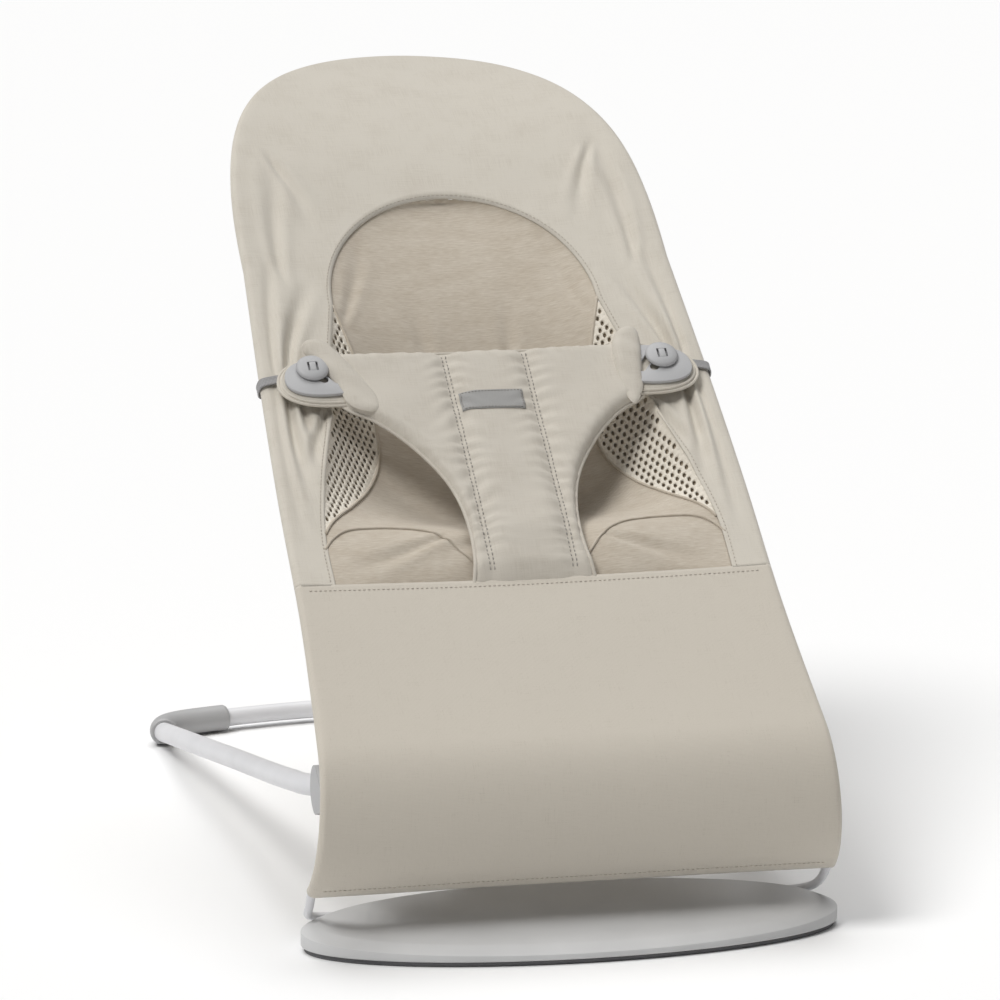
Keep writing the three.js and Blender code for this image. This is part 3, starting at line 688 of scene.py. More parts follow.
def sling_lift(x, s):
    """The sling rests on the wire at both sides and sags a little between them."""
    s = np.asarray(s, float)
    rise = np.clip((s - ARCH_START_S) / (TOP_S - ARCH_START_S), 0, 1)
    hang = SLING_SAG * (1 - rise ** 2) * np.clip((s - HEM_S) / (2.2 * (SEAM_S - HEM_S)), 0.1, 1)
    across = np.clip(np.abs(x) / np.maximum(half_width(s), 1e-6), 0, 1)
    return SLEEVE_RADIUS - hang * (1 - across ** 2)


# Soft creases of the border, most of them spreading from the two straps, in the form that fold() takes.
BORDER_FOLDS = [
    ((-160, 368), (-143, 500), 4.2, 2.6, 3), ((-150, 368), (-116, 470), 4.6, 3.2, 4),
    ((-164, 350), (-166, 190), 3.6, 2.4, -2), ((-153, 349), (-152, 240), 4.2, 2.8, -3),
    ((-168, 366), (-158, 452), 3.0, 1.8, 2), ((-146, 352), (-141, 292), 3.2, 2.0, 0),
    ((158, 370), (146, 505), 4.2, 2.8, -3), ((149, 370), (117, 478), 4.8, 3.2, -4),
    ((161, 350), (164, 185), 3.8, 2.6, 2), ((151, 348), (147, 236), 4.4, 2.8, 3),
    ((167, 366), (160, 446), 3.0, 1.8, -2), ((-138, 470), (-118, 620), 6.0, 1.6, 5),
    ((140, 480), (128, 640), 6.0, 2.0, -5), ((-128, 604), (-104, 520), 5.0, 1.4, 3),
    ((128, 604), (105, 520), 5.0, 1.6, -3), ((122, 330), (146, 262), 4.0, 2.4, 2),
    ((-126, 330), (-148, 262), 4.0, 2.4, -2)]


def border_lift(x, s):
    relief = 0.8 * MM * ripple(x, s, 3, 0.11)
    for start, end, width, depth, bow in BORDER_FOLDS:
        relief = relief + 1.7 * fold(x, s, start, end, width, depth, bow)
    from_wire = np.minimum(half_width(s) - np.abs(x), TOP_S - s)
    return sling_lift(x, s) + relief * np.clip((from_wire - 6 * MM) / (12 * MM), 0, 1)


def outer_outline(count):
    """Edge of the border from the right-hand seam, round the arch and down to the left-hand seam."""
    side_s = np.linspace(SEAM_S, ARCH_START_S, 60)
    turns = np.linspace(0, math.pi / 2, 90)[1:]
    arch_s = ARCH_START_S + (TOP_S - ARCH_START_S) * np.sin(turns) ** (1 / 1.3)
    arch_x = ARCH_HALF * np.maximum(np.cos(turns), 0) ** (1 / 0.95)
    x = np.concatenate([side_half(side_s), arch_x])
    s = np.concatenate([side_s, arch_s])
    return mirrored_path(x, s, count)


def opening_outline(count, inset=0.0):
    side_s = np.linspace(SEAM_S, OPENING_ARCH_S, 50)
    turns = np.linspace(0, math.pi / 2, 50)[1:]
    arch_s = OPENING_ARCH_S + (OPENING_TOP_S - inset - OPENING_ARCH_S) * np.sin(turns)
    arch_x = (opening_side(OPENING_ARCH_S) - inset) * np.cos(turns)
    x = np.concatenate([opening_side(side_s) - inset, arch_x])
    s = np.concatenate([side_s, arch_s])
    return mirrored_path(x, s, count)


def mirrored_path(x, s, count):
    """A right-hand half outline and its mirror image, as one path of evenly spaced points."""
    path = np.stack([np.concatenate([x, -x[-2::-1]]), np.concatenate([s, s[-2::-1]]),
                     np.zeros(2 * len(x) - 1)], axis=1)
    return even_path(path, count)[:, :2]


def cut_of(grid):
    """Width, length and area of the cloth that a grid of points is cut from, along its own surface."""
    width = np.linalg.norm(np.diff(grid, axis=1), axis=2).sum(axis=1).max()
    length = np.linalg.norm(np.diff(grid, axis=0), axis=2).sum(axis=0).max()
    first_diagonal = grid[1:, 1:] - grid[:-1, :-1]
    second_diagonal = grid[1:, :-1] - grid[:-1, 1:]
    area = 0.5 * np.linalg.norm(np.cross(first_diagonal, second_diagonal), axis=2).sum()
    return float(width), float(length), float(area)


def add_border():
    """Border and head cover: flat cloth up to the wire, a sleeve round it, and a hem behind."""
    stations = 460
    outer = outer_outline(stations)
    inner = opening_outline(stations)
    tangent = np.gradient(outer, axis=0)
    normal = np.stack([tangent[:, 1], -tangent[:, 0]], axis=1)
    normal /= np.linalg.norm(normal, axis=1, keepdims=True)
    wire = outer - normal * EDGE_INSET
    x, s, lift = [], [], []
    for t in np.linspace(0, 1, 26):
        point = inner + (wire - inner) * t
        x.append(point[:, 0])
        s.append(point[:, 1])
        lift.append(border_lift(point[:, 0], point[:, 1]))
    top_lift = lift[-1]
    for turn in np.radians(np.arange(18, 181, 18)):
        x.append(wire[:, 0] + normal[:, 0] * SLEEVE_RADIUS * math.sin(turn))
        s.append(wire[:, 1] + normal[:, 1] * SLEEVE_RADIUS * math.sin(turn))
        lift.append(SLEEVE_RADIUS * math.cos(turn) + (top_lift - SLEEVE_RADIUS) * max(math.cos(turn), 0))
    for reach in (5, 10, 15):
        x.append(wire[:, 0] - normal[:, 0] * reach * MM)
        s.append(wire[:, 1] - normal[:, 1] * reach * MM)
        lift.append(np.full(len(wire), -SLEEVE_RADIUS + 0.12 * reach * MM))
    x, s, lift = np.array(x), np.array(s), np.array(lift)
    made = thick_sheet("border_cover", x[::-1], s[::-1], lift[::-1], COTTON)
    width, length = 2 * (side_half(SEAM_S) + 25 * MM), TOP_S - SEAM_S + 25 * MM
    area = cut_of(seat(x, s, lift))[2]
    settle(made, "cotton", "seat", "border_panel")


def leg_rest_lift(x, s):
    return sling_lift(x, s) + 0.7 * MM * ripple(x, s, 8, 0.13)


def add_leg_rest():
    """Leg rest: from the seam down round the C-bend to a sewn hem, with a sleeve over each side wire."""
    s_values = np.concatenate([np.linspace(SEAM_S + 1 * MM, HEM_S + 2 * MM, 110), [HEM_S]])
    span = np.linspace(-1, 1, 90)
    columns_x, columns_lift = [], []
    wire_half = side_half(s_values) - EDGE_INSET
    for turn in np.radians((180, 180, 162, 144, 126, 108, 90, 72, 54, 36, 18)):
        back = 12 * MM if not columns_x else 0
        columns_x.append(-(wire_half + SLEEVE_RADIUS * math.sin(turn)) + back)
        columns_lift.append(np.full(len(s_values), SLEEVE_RADIUS * math.cos(turn)))
    for part in span:
        x = wire_half * part
        columns_x.append(x)
        columns_lift.append(leg_rest_lift(x, s_values))
    for left, lift in list(zip(columns_x, columns_lift))[10::-1]:
        columns_x.append(-left)
        columns_lift.append(lift)
    x, lift = np.array(columns_x).T, np.array(columns_lift).T
    s = np.repeat(s_values[:, None], x.shape[1], axis=1)
    made = thick_sheet("leg_rest_cover", x[:, ::-1], s, lift[:, ::-1], LINEN)
    width, length, area = cut_of(seat(x, s, lift))
    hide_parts("leg_rest_hem", "leg_rest_panel")
    start, end = seat(0, SPLIT_S - 26 * MM), seat(0, SPLIT_S + 26 * MM)
    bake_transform(made)
    add_leg_rest_stitches()


def add_leg_rest_stitches():
    across = np.linspace(-1, 1, 40)
    seam = SEAM_S - 5 * MM
    path = np.stack([across * (side_half(seam) - 8 * MM), np.full(40, seam)], axis=1)
    seam_line = stitch_line("leg_rest_seam_stitches", path, leg_rest_lift, PALE_THREAD)
    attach(seam_line, "seat")
    hem = HEM_S + 9 * MM
    path = np.stack([across * (side_half(hem) - 8 * MM), np.full(40, hem)], axis=1)
    hem_line = stitch_line("hem_stitches", path, leg_rest_lift, PALE_THREAD)
    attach(hem_line, "root")


def inner_lift(x, s):
    """Lift of the jersey and the air mesh: the sling, less the depth of the seat pan."""
    across = np.clip(np.abs(x) / np.maximum(opening_half(s), 1e-6), 0, 1)
    hang = (1 - across ** 2.6) ** 0.85
    under_strap = 7 * MM * np.exp(-(x / (52 * MM)) ** 4) * np.clip((222 * MM - s) / (30 * MM), 0, 1)
    return sling_lift(x, s) - 1.2 * MM - pan_depth(s) * hang - under_strap


# Creases of the jersey, in the form that fold() takes: start, end, width, depth and bow.
JERSEY_FOLDS = [((-60, 196), (-140, 166), 5, 2.4, 2), ((60, 192), (138, 160), 5, 2.4, -2),
                ((-20, 200), (-70, 176), 6, 2.0, 0), ((96, 430), (70, 520), 5, 1.6, 2),
                ((-96, 430), (-68, 520), 5, 1.6, -2), ((30, 386), (38, 470), 6, 1.6, 0),
                ((-28, 386), (-40, 462), 6, 1.6, 0)]


def jersey_lift(x, s):
    total = inner_lift(x, s) + 0.8 * MM * ripple(x, s, 12, 0.07)
    for start, end, width, depth, bow in JERSEY_FOLDS:
        total = total + fold(x, s, start, end, width, depth, bow)
    return total


def add_jersey():
    """Seat pan of melange jersey, from the leg rest's seam to the rounded head end of the opening."""
    s_values = np.concatenate([np.linspace(SEAM_S, OPENING_ARCH_S, 110),
                               OPENING_ARCH_S + (OPENING_TOP_S + 1 * MM - OPENING_ARCH_S)
                               * np.sin(np.linspace(0.04, math.pi / 2 - 0.02, 40))])
    half = jersey_half(np.minimum(s_values, OPENING_TOP_S - 0.2 * MM)) + 1.5 * MM
    span = np.linspace(-1, 1, 110)
    x = half[:, None] * span[None, :]
    s = np.repeat(s_values[:, None], 110, axis=1)
    lift = jersey_lift(x, s)
    made = thick_sheet("jersey_pan", x, s, lift, JERSEY)
    width, length, area = cut_of(seat(x, s, lift))
    settle(made, "jersey", "seat", "jersey_panel")


MESH_FROM_S = 206 * MM
MESH_TO_S = 438 * MM


def mesh_limits(s):
    return jersey_side(s) - 0.5 * MM, opening_side(s) + 1.5 * MM


def add_air_mesh(side, suffix):
    """Open mesh beside the jersey: rows of long holes, each row shifted half a hole along."""
    pitch_x, pitch_s = 4.8 * MM, 5.6 * MM
    hole_x, hole_s, hem = 1.15 * MM, 2.2 * MM, 3.4 * MM
    steps = (-1, -0.5, 0, 0.5)
    square = [(t, -1) for t in steps] + [(1, t) for t in steps]
    square += [(-t, 1) for t in steps] + [(-1, -t) for t in steps]
    ring = np.array(square) * (pitch_x / 2, pitch_s / 2)
    turns = np.arctan2(ring[:, 1], ring[:, 0])
    hole = np.stack([hole_x * np.cos(turns), hole_s * np.sin(turns)], axis=1)
    rows = int((MESH_TO_S - MESH_FROM_S) / pitch_s)
    points, faces, flats = [], [], []
    for row in range(rows):
        s_centre = MESH_FROM_S + (row + 0.5) * pitch_s
        inside, outside = mesh_limits(s_centre)
        if outside - inside < 1.5 * MM:
            continue
        first = math.floor(inside / pitch_x) - 1
        last = math.ceil(outside / pitch_x) + 1
        for column in range(first, last + 1):
            x_centre = (column + 0.5 * (row % 2)) * pitch_x
            if x_centre + pitch_x / 2 < inside or x_centre - pitch_x / 2 > outside:
                continue
            has_hole = inside + hem < x_centre < outside - hem
            edge = hole if has_hole else hole * 0.02
            cell = grid_faces(3, len(ring), loop=True, start=len(points))
            faces += cell if side > 0 else [face[::-1] for face in cell]
            for share, crown in ((0.0, 0.35), (0.45, 0.25), (1.0, -0.35 if has_hole else 0.2)):
                loop = ring * (1 - share) + edge * share + (x_centre, s_centre)
                loop[:, 0] = np.clip(loop[:, 0], *mesh_limits(loop[:, 1]))
                lift = inner_lift(loop[:, 0], loop[:, 1]) + crown * MM
                points.extend(seat(side * loop[:, 0], loop[:, 1], lift))
                flats.extend(loop)
    made = make_object(f"air_mesh_cover_{suffix}", points, faces, AIR_MESH, flats)
    clean_sheet(made, 0.8 * MM)
    width, length, area = add_mesh_backing(side, suffix)
    settle(made, "air_mesh", "seat", f"air_mesh_{suffix}")


def add_mesh_backing(side, suffix):
    """Closed back layer of the air mesh, seen dark through its holes."""
    s_values = np.linspace(MESH_FROM_S, MESH_TO_S, 50)
    inside, outside = mesh_limits(s_values)
    x = side * (inside[:, None] + (outside - inside)[:, None] * np.linspace(0, 1, 10)[None, :])
    s = np.repeat(s_values[:, None], 10, axis=1)
    if side < 0:
        x = x[:, ::-1]
    lift = inner_lift(x, s) - 3.2 * MM
    back = thick_sheet(f"air_mesh_back_{suffix}", x, s, lift, MESH_BACK, 0.8 * MM)
    width, length, area = cut_of(seat(x, s, lift))
    settle(back, "air_mesh", "seat")
    return width, length, area


def clean_sheet(made, thickness):
    """Join the cells, drop what was squeezed flat at the edges, and give the mesh a thickness."""
    work = bmesh.new()
    work.from_mesh(made.data)
    bmesh.ops.remove_doubles(work, verts=work.verts, dist=2e-5)
    flat_faces = [face for face in work.faces if face.calc_area() < 1e-10]
    bmesh.ops.delete(work, geom=flat_faces, context="FACES")
    loose = [vert for vert in work.verts if not vert.link_faces]
    bmesh.ops.delete(work, geom=loose, context="VERTS")
    whole = work.faces[:] + work.edges[:] + work.verts[:]
    grown = bmesh.ops.extrude_face_region(work, geom=whole, use_keep_orig=True)["geom"]
    back = [item for item in grown if isinstance(item, bmesh.types.BMVert)]
    away = Vector((0, math.sin(SLOPE), -math.cos(SLOPE))) * thickness
    bmesh.ops.translate(work, verts=back, vec=away)
    bmesh.ops.recalc_face_normals(work, faces=work.faces)
    work.to_mesh(made.data)
    work.free()


# Seam along the lip of the seat pan on one side, (x, s) in millimetres.
LIP = [(-151, 188), (-144, 198), (-132, 207), (-117, 210), (-98, 210), (-77, 205), (-60, 194), (-49, 181),
       (-40, 170)]


def add_seam_cords():
    """Sewn ridges where the jersey meets the air mesh and along the lip of the seat pan."""
    for side, suffix in ((1, "right"), (-1, "left")):
        s_values = np.linspace(MESH_FROM_S - 2 * MM, MESH_TO_S + 3 * MM, 90)
        x = side * (jersey_side(s_values) + 0.4 * MM)
        points = seat(x, s_values, inner_lift(x, s_values) + 0.5 * MM)
        mesh_cord = tube(f"mesh_seam_{suffix}", points, 1.15 * MM, JERSEY, 10)
        settle(mesh_cord, "jersey", "seat")
        x, s, _ = spline([(-side * x_at * MM, s_at * MM, 0) for x_at, s_at in LIP], 70).T
        points = seat(x, s, jersey_lift(x, s) + 0.7 * MM)
        lip_cord = tube(f"lip_seam_{suffix}", points, 1.0 * MM, JERSEY, 10)
        settle(lip_cord, "jersey", "seat")


def add_seam_stitches():
    """Stitches along the border's inner seam, a short way in from the edge."""
    path = opening_outline(200, inset=-3.2 * MM)
    line = stitch_line("opening_stitches", path, border_lift, PALE_THREAD)
    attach(line, "seat")


# ------------------------------------------------------------------------------------------------
# Restraint, its flaps and fasteners
RESTRAINT_TOP_S = 378 * MM
ARM_END_X = 116 * MM
STITCH_X = 31 * MM
# Curved edge of the restraint round one leg, (x, s) in millimetres.
LEG_CUTOUT = [(46, 148), (42, 173), (41, 198), (43.5, 224), (50.5, 249), (63, 273), (78, 294), (95, 311),
              (110, 320)]


def restraint_outline():
    edge = spline([(x * MM, s * MM, 0) for x, s in LEG_CUTOUT], 46)[:, :2]
    corner = ellipse((ARM_END_X - 8 * MM, RESTRAINT_TOP_S - 8 * MM), (8 * MM, 8 * MM), 6, 0, math.pi / 2)
    top = np.stack([np.linspace(ARM_END_X - 14 * MM, 0, 22), np.full(22, RESTRAINT_TOP_S)], axis=1)
    end = np.stack([np.full(8, ARM_END_X), np.linspace(326 * MM, RESTRAINT_TOP_S - 12 * MM, 8)], axis=1)
    right = np.vstack([edge, end, corner, top])
    left = right[-2::-1] * (-1, 1)
    return np.vstack([right, left])


def restraint_middle(x, s):
    """Middle of the restraint: straight between the buttons, resting on the lip and tucked in below it."""
    drape = 4.5 * MM * (1 - (x / (150 * MM)) ** 2)
    bridge = 10.5 * MM - drape
    resting = sling_lift(x, s) + 4.5 * MM
    lower = bridge + (resting - bridge) * np.clip((230 * MM - s) / (60 * MM), 0, 1) ** 1.5
    tuck = np.clip((166 * MM - s) / (18 * MM), 0, 1) ** 1.4
    return lower - 8.5 * MM * tuck


def restraint_height(x, s, distance):
    """Thickness of the restraint: plump, pinched at the two stitched seams, with puckers beside them."""
    from_line = np.abs(np.abs(x) - STITCH_X)
    seam = np.exp(-(from_line / (6.5 * MM)) ** 1.6)
    phase = 2 * math.pi * s / (12.5 * MM) + 9 * ripple(x, s, 17, 0.06) + np.sign(np.abs(x) - STITCH_X)
    puckers = np.exp(-(from_line / (15 * MM)) ** 2) * np.sin(phase) * np.clip(from_line / (3 * MM), 0.25, 1)
    edge_phase = 2 * math.pi * (x + 1.3 * s) / (13 * MM) + 9 * ripple(x, s, 23, 0.06)
    edge_puckers = np.exp(-(distance / (11 * MM)) ** 2) * np.sin(edge_phase)
    plump = 16.5 * MM * (1 - 0.6 * seam) + 1.9 * MM * puckers + 1.5 * MM * edge_puckers
    slim = np.clip((s - 140 * MM) / (55 * MM), 0.3, 1)
    return (plump + 3.2 * MM * ripple(x, s, 21, 0.06)) * slim


def restraint_top(x, s):
    """Front face of the restraint, well inside its edge."""
    return restraint_middle(x, s) + 0.5 * restraint_height(x, s, np.full(np.shape(x), 0.02))


def add_restraint():
    """Padded restraint with two double rows of stitches and a bound edge."""
    outline = restraint_outline()
    spacing = 2.6 * MM
    made = pad_from_outline("restraint_pad", outline, spacing, restraint_height, SHADED_RESTRAINT_COTTON,
                            restraint_middle, 9 * MM)
    settle(made, "cotton", "seat", "restraint")
    apart = 1.6 * MM
    for x_line in (-STITCH_X - apart, -STITCH_X + apart, STITCH_X - apart, STITCH_X + apart):
        path = np.stack([np.full(60, x_line), np.linspace(158 * MM, 373 * MM, 60)], axis=1)
        name = f"restraint_stitches_{round(x_line / MM + 40)}"
        line = stitch_line(name, path, restraint_top, THREAD, 2.8 * MM, 1.1 * MM, 0.5 * MM)
        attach(line, "seat")
    x, s = np.vstack([outline, outline[:1]]).T
    points = seat(x, s, restraint_middle(x, s) + 0.4 * MM)
    binding = tube("restraint_binding", even_path(points, 420), 1.5 * MM, SHADED_RESTRAINT_COTTON, 12, close_ends=False)
    settle(binding, "cotton", "seat")


# Outlines of the two folded arm ends, (x, s) in millimetres.
ARM_FOLDS = {
    "left": [(-138, 377), (-138, 385), (-131, 389), (-120, 386), (-105, 361), (-91, 333), (-89, 317),
             (-98, 314), (-112, 322), (-120, 346)],
    "right": [(103, 384), (112, 390), (121, 387), (121, 368), (117, 345), (114, 326), (105, 311), (99, 325),
              (97, 345), (98, 368)]}


def add_arm_fold(suffix):
    """End of a restraint arm, folded over beside the button into a soft roll."""
    corners = [(x * MM, s * MM, 0) for x, s in ARM_FOLDS[suffix]]
    outline = spline(corners + corners[:1], 90)[:-1, :2]
    if suffix == "right":
        outline = outline[::-1]

    def height_at(x, s, distance):
        wave = np.sin(2 * math.pi * (x * 0.7 + s) / (19 * MM))
        return 12.5 * MM * (1 + 0.08 * wave) * np.clip((s - 300 * MM) / (60 * MM), 0.4, 1)

    made = pad_from_outline(f"arm_fold_{suffix}", outline, 1.6 * MM, height_at, SHADED_RESTRAINT_COTTON,
                            lambda x, s: 15 * MM + 0 * x, 8 * MM)
    settle(made, "cotton", "seat")


BUTTON = np.array((134.5, 358)) * MM
FLAP_LIFT = 10.4 * MM
TAB_LIFT = 13.7 * MM
TAB_THICKNESS = 2.8 * MM


def add_flap(side, suffix):
    """Padded D-shaped flap under the tab, with two rounds of piping along its edge."""
    lower = bezier((107, 326), (146, 322), (163, 334), (161, 350), 22)
    upper = bezier((161, 350), (159, 367), (144, 374), (107, 377), 22)[1:]
    edge = np.vstack([lower, upper]) * MM
    outline = edge * (side, 1)
    if side < 0:
        outline = outline[::-1]
    made = pad_from_outline(f"flap_pad_{suffix}", outline, 2.4 * MM,
                            lambda x, s, d: 5.6 * MM + 0.9 * MM * ripple(x, s, 31, 0.03), COTTON,
                            lambda x, s: FLAP_LIFT + 0 * x, 5 * MM)
    settle(made, "cotton", "seat", f"flap_{suffix}")
    middle = np.array((120, 352)) * MM
    for number, (scale, lift) in enumerate(((1.0, 0.3), (0.93, 1.7))):
        path = (middle + (edge - middle) * scale) * (side, 1)
        points = seat(path[:, 0], path[:, 1], FLAP_LIFT + lift * MM)
        piping = tube(f"flap_piping_{number + 1}_{suffix}", even_path(points, 80), 1.25 * MM, COTTON, 10)
        settle(piping, "cotton", "seat")


def add_tab(side, suffix):
    """Plastic tab that slides on the button's stem, with a slot for the stem and a second one beside it."""
    lower = bezier((112, 333), (142, 328), (158, 336), (156.5, 350), 16)
    upper = bezier((156.5, 350), (156, 364), (143, 371), (112, 371), 16)[1:]
    outline = np.vstack([lower, upper]) * MM
    turn = math.radians(-125)
    slots = [slot_outline(BUTTON, turn, 13 * MM, 3.2 * MM),
             slot_outline(BUTTON - np.array((10, 1)) * MM, turn, 13 * MM, 3.2 * MM)]
    outlines = [path * (side, 1) for path in (outline, *slots)]
    middle = SEAT_PLANE @ Matrix.Translation((0, 0, TAB_LIFT + TAB_THICKNESS / 2))
    made = cut_plate(f"tab_plate_{suffix}", outlines, TAB_THICKNESS, 0.7 * MM, 3, middle, PLASTIC)
    settle(made, "grey_plastic", f"tab_{suffix}", f"tab_{suffix}")


def on_button(side, points):
    """Points given across, along and up from the middle of a button, in millimetres."""
    points = np.asarray(points, float) * MM
    return seat(side * (BUTTON[0] + points[:, 0]), BUTTON[1] + points[:, 1], points[:, 2])


def lathe(name, profile, place, material, sides=48):
    """Turned part from (radius, height) points, which place() moves from its own axes onto the seat."""
    turns = np.linspace(0, 2 * math.pi, sides, endpoint=False)
    rings = [[(r * math.cos(a), r * math.sin(a), h) for a in turns] for r, h in profile]
    points = place(np.array(rings).reshape(-1, 3))
    return turned_out(make_object(name, points, barrel_faces(len(profile), sides), material))


def add_button(side, suffix):
    """Mushroom button: a domed head with a springy tongue let into a slit."""
    head = (TAB_LIFT + TAB_THICKNESS) / MM + 0.5
    stem = [(8.8, 9.0), (8.8, 10.2), (2.9, 10.3), (2.9, head)]
    dome = [(11.6, 0), (12.4, 0.5), (12.5, 1.2), (12.1, 2.2), (10.6, 3.1), (7.5, 3.7), (3.5, 4.0), (0.3, 4.1)]
    profile = stem + [(radius, head + height) for radius, height in dome]
    made = lathe(f"button_head_{suffix}", profile, lambda p: on_button(side, p), PLASTIC)
    corners = [(-4.0, -4.8), (4.0, -4.8), (4.0, 4.0), (-4.0, 4.0)]
    box_points = [(x, y, h) for h in (head + 1.2, head + 9) for x, y in corners]
    slit = make_object("slit_cutter", on_button(side, box_points), BOX_FACES, PLASTIC, smooth=False)
    cutter = turned_out(slit)
    carve(made, [cutter])
    smooth_by_angle(made, 40)
    settle(made, "grey_plastic", "seat", f"button_{suffix}")
    add_tongue(side, suffix, head)


def add_tongue(side, suffix, head):
    """Springy tongue in the button's slit, with a crowned top. It sinks when the tab goes over it."""
    y, x = np.meshgrid(np.linspace(-4.5, 3.7, 9), np.linspace(-2.3, 2.3, 7), indexing="ij")
    top = np.stack([x, y, head + 4.25 - 0.02 * y * y - 0.035 * x * x], axis=-1).reshape(-1, 3)
    low = top * (1, 1, 0) + (0, 0, head + 2.3)
    points = on_button(side, np.vstack([top, low]))
    tongue = turned_out(make_object(f"tongue_{suffix}", points, slab_faces(9, 7), PLASTIC))
    smooth_by_angle(tongue, 40)
    settle(tongue, "grey_plastic", f"tongue_{suffix}", f"button_tongue_{suffix}")


def carve(made, cutters):
    """Cut each cutter out of a solid, then remove the cutters."""
    for cutter in cutters:
        modifier = made.modifiers.new("cut", "BOOLEAN")
        modifier.operation = "DIFFERENCE"
        modifier.solver = "EXACT"
        modifier.object = cutter
    evaluated = made.evaluated_get(bpy.context.evaluated_depsgraph_get())
    mesh = bpy.data.meshes.new_from_object(evaluated)
    made.modifiers.clear()
    made.data = mesh
    for cutter in cutters:
        bpy.data.objects.remove(cutter)


def add_webbing(side, suffix):
    """Flat strap from under the flap, over the sling's edge and back beneath it."""
    edge = float(side_half(BUTTON[1])) / MM
    path = [(126, 8.2), (150, 7.4), (edge - 4, 6.9), (edge + 0.6, 5.4), (edge + 2.0, 1.5), (edge + 2.0, -2.5),
            (edge + 0.4, -6.4), (edge - 4, -8.0), (150, -8.6)]
    curve = spline([(x * MM, lift * MM, 0) for x, lift in path], 60)
    tangent = np.gradient(curve, axis=0)[:, :2]
    tangent /= np.linalg.norm(tangent, axis=1, keepdims=True)
    normal = np.stack([-tangent[:, 1], tangent[:, 0]], axis=1)
    section = [(-5, -0.45), (-4.6, 0.3), (-4.0, 0.62), (-3.2, 0.45), (0, 0.55), (3.2, 0.45), (4.0, 0.62),
               (4.6, 0.3), (5, -0.45), (4.6, -0.65), (0, -0.65), (-4.6, -0.65)]
    points, flats = [], []
    lengths = lengths_along(curve)
    for (x, lift, _), (nx, nl), length in zip(curve, normal, lengths):
        for across, up in section:
            slant = (6 - 0.17 * (x / MM - 126)) * MM
            s = BUTTON[1] + slant + across * 0.85 * MM
            points.append(seat(side * (x + nx * up * MM), s, lift + nl * up * MM))
            flats.append((length, across * MM))
    faces = barrel_faces(len(curve), len(section))
    made = turned_out(make_object(f"strap_{suffix}", points, faces, WEBBING, flats))
    settle(made, "webbing", "seat", f"webbing_{suffix}")


def add_label():
    """Plain woven patch across the restraint, with no marks on it."""
    x, s = np.meshgrid(np.linspace(-27, 21.5, 30) * MM, np.linspace(312.5, 331.5, 14) * MM)
    lift = restraint_top(x, s) + 0.9 * MM
    made = thick_sheet("woven_patch", x, s, lift, PATCH, 0.8 * MM)
    width, length, area = cut_of(seat(x, s, lift))
    settle(made, "label", "seat", "label_patch")
    corners = [(-25.8, 313.7), (20.3, 313.7), (20.3, 330.3), (-25.8, 330.3), (-25.8, 313.7)]
    path = even_path([(x_at * MM, s_at * MM, 0) for x_at, s_at in corners], 120)[:, :2]
    line = stitch_line("patch_stitches", path, lambda x, s: restraint_top(x, s) + 1.0 * MM, THREAD, 1.8 * MM,
                       0.7 * MM, 0.35 * MM)
    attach(line, "seat")


# ------------------------------------------------------------------------------------------------
# Wire, foot plate, leg hinge and rear leg frame
# Front plane from which the stations of the leg are measured.
FRONT_Y = BEND_Y - 105 * MM


# Corner of the wire beside the foot plate, from the plate's hinge line, in millimetres.
WIRE_CORNER = [(172, 0, 0), (179.5, -1.5, 0.8), (185.5, -6.5, 3.2), (189, -16, 8), (190.2, -29, 16.5)]


def wire_corner(stations, side=1):
    return [(side * x * MM, FOOT_AXIS.y + y * MM, FOOT_AXIS.z + z * MM) for x, y, z in stations]


def add_base_wires():
    """Wire of the loop from the foot plate up to the C-bend, on each side."""
    corner = wire_corner([(150, 0, 0), (161, 0, 0), *WIRE_CORNER])
    for side, suffix in ((1, "right"), (-1, "left")):
        s_values = np.linspace(-128 * MM, SPLIT_S - 0.5 * MM, 20)
        bend = [tuple(seat(side_half(s) - EDGE_INSET, s)) for s in s_values]
        path = spline([(side * p[0], p[1], p[2]) for p in corner + bend], 150)
        made = tube(f"loop_wire_{suffix}", path, WIRE_RADIUS, PAINT, 18)
        settle(made, "frame_paint", "root", f"base_wire_{suffix}")


PLATE_HALF_X = 198
PLATE_HALF_Y = 75
PLATE_FRONT = FOOT_AXIS.y / MM - 113


def plate_ring(inset, height_at):
    """Oval ring of points a little inside the plate's edge; height_at takes y from the plate's front."""
    turns = np.linspace(0, 2 * math.pi, 160, endpoint=False)
    y = PLATE_HALF_Y + (PLATE_HALF_Y - inset) * np.sin(turns)
    return np.stack([(PLATE_HALF_X - inset) * np.cos(turns), PLATE_FRONT + y, height_at(y)], axis=1) * MM


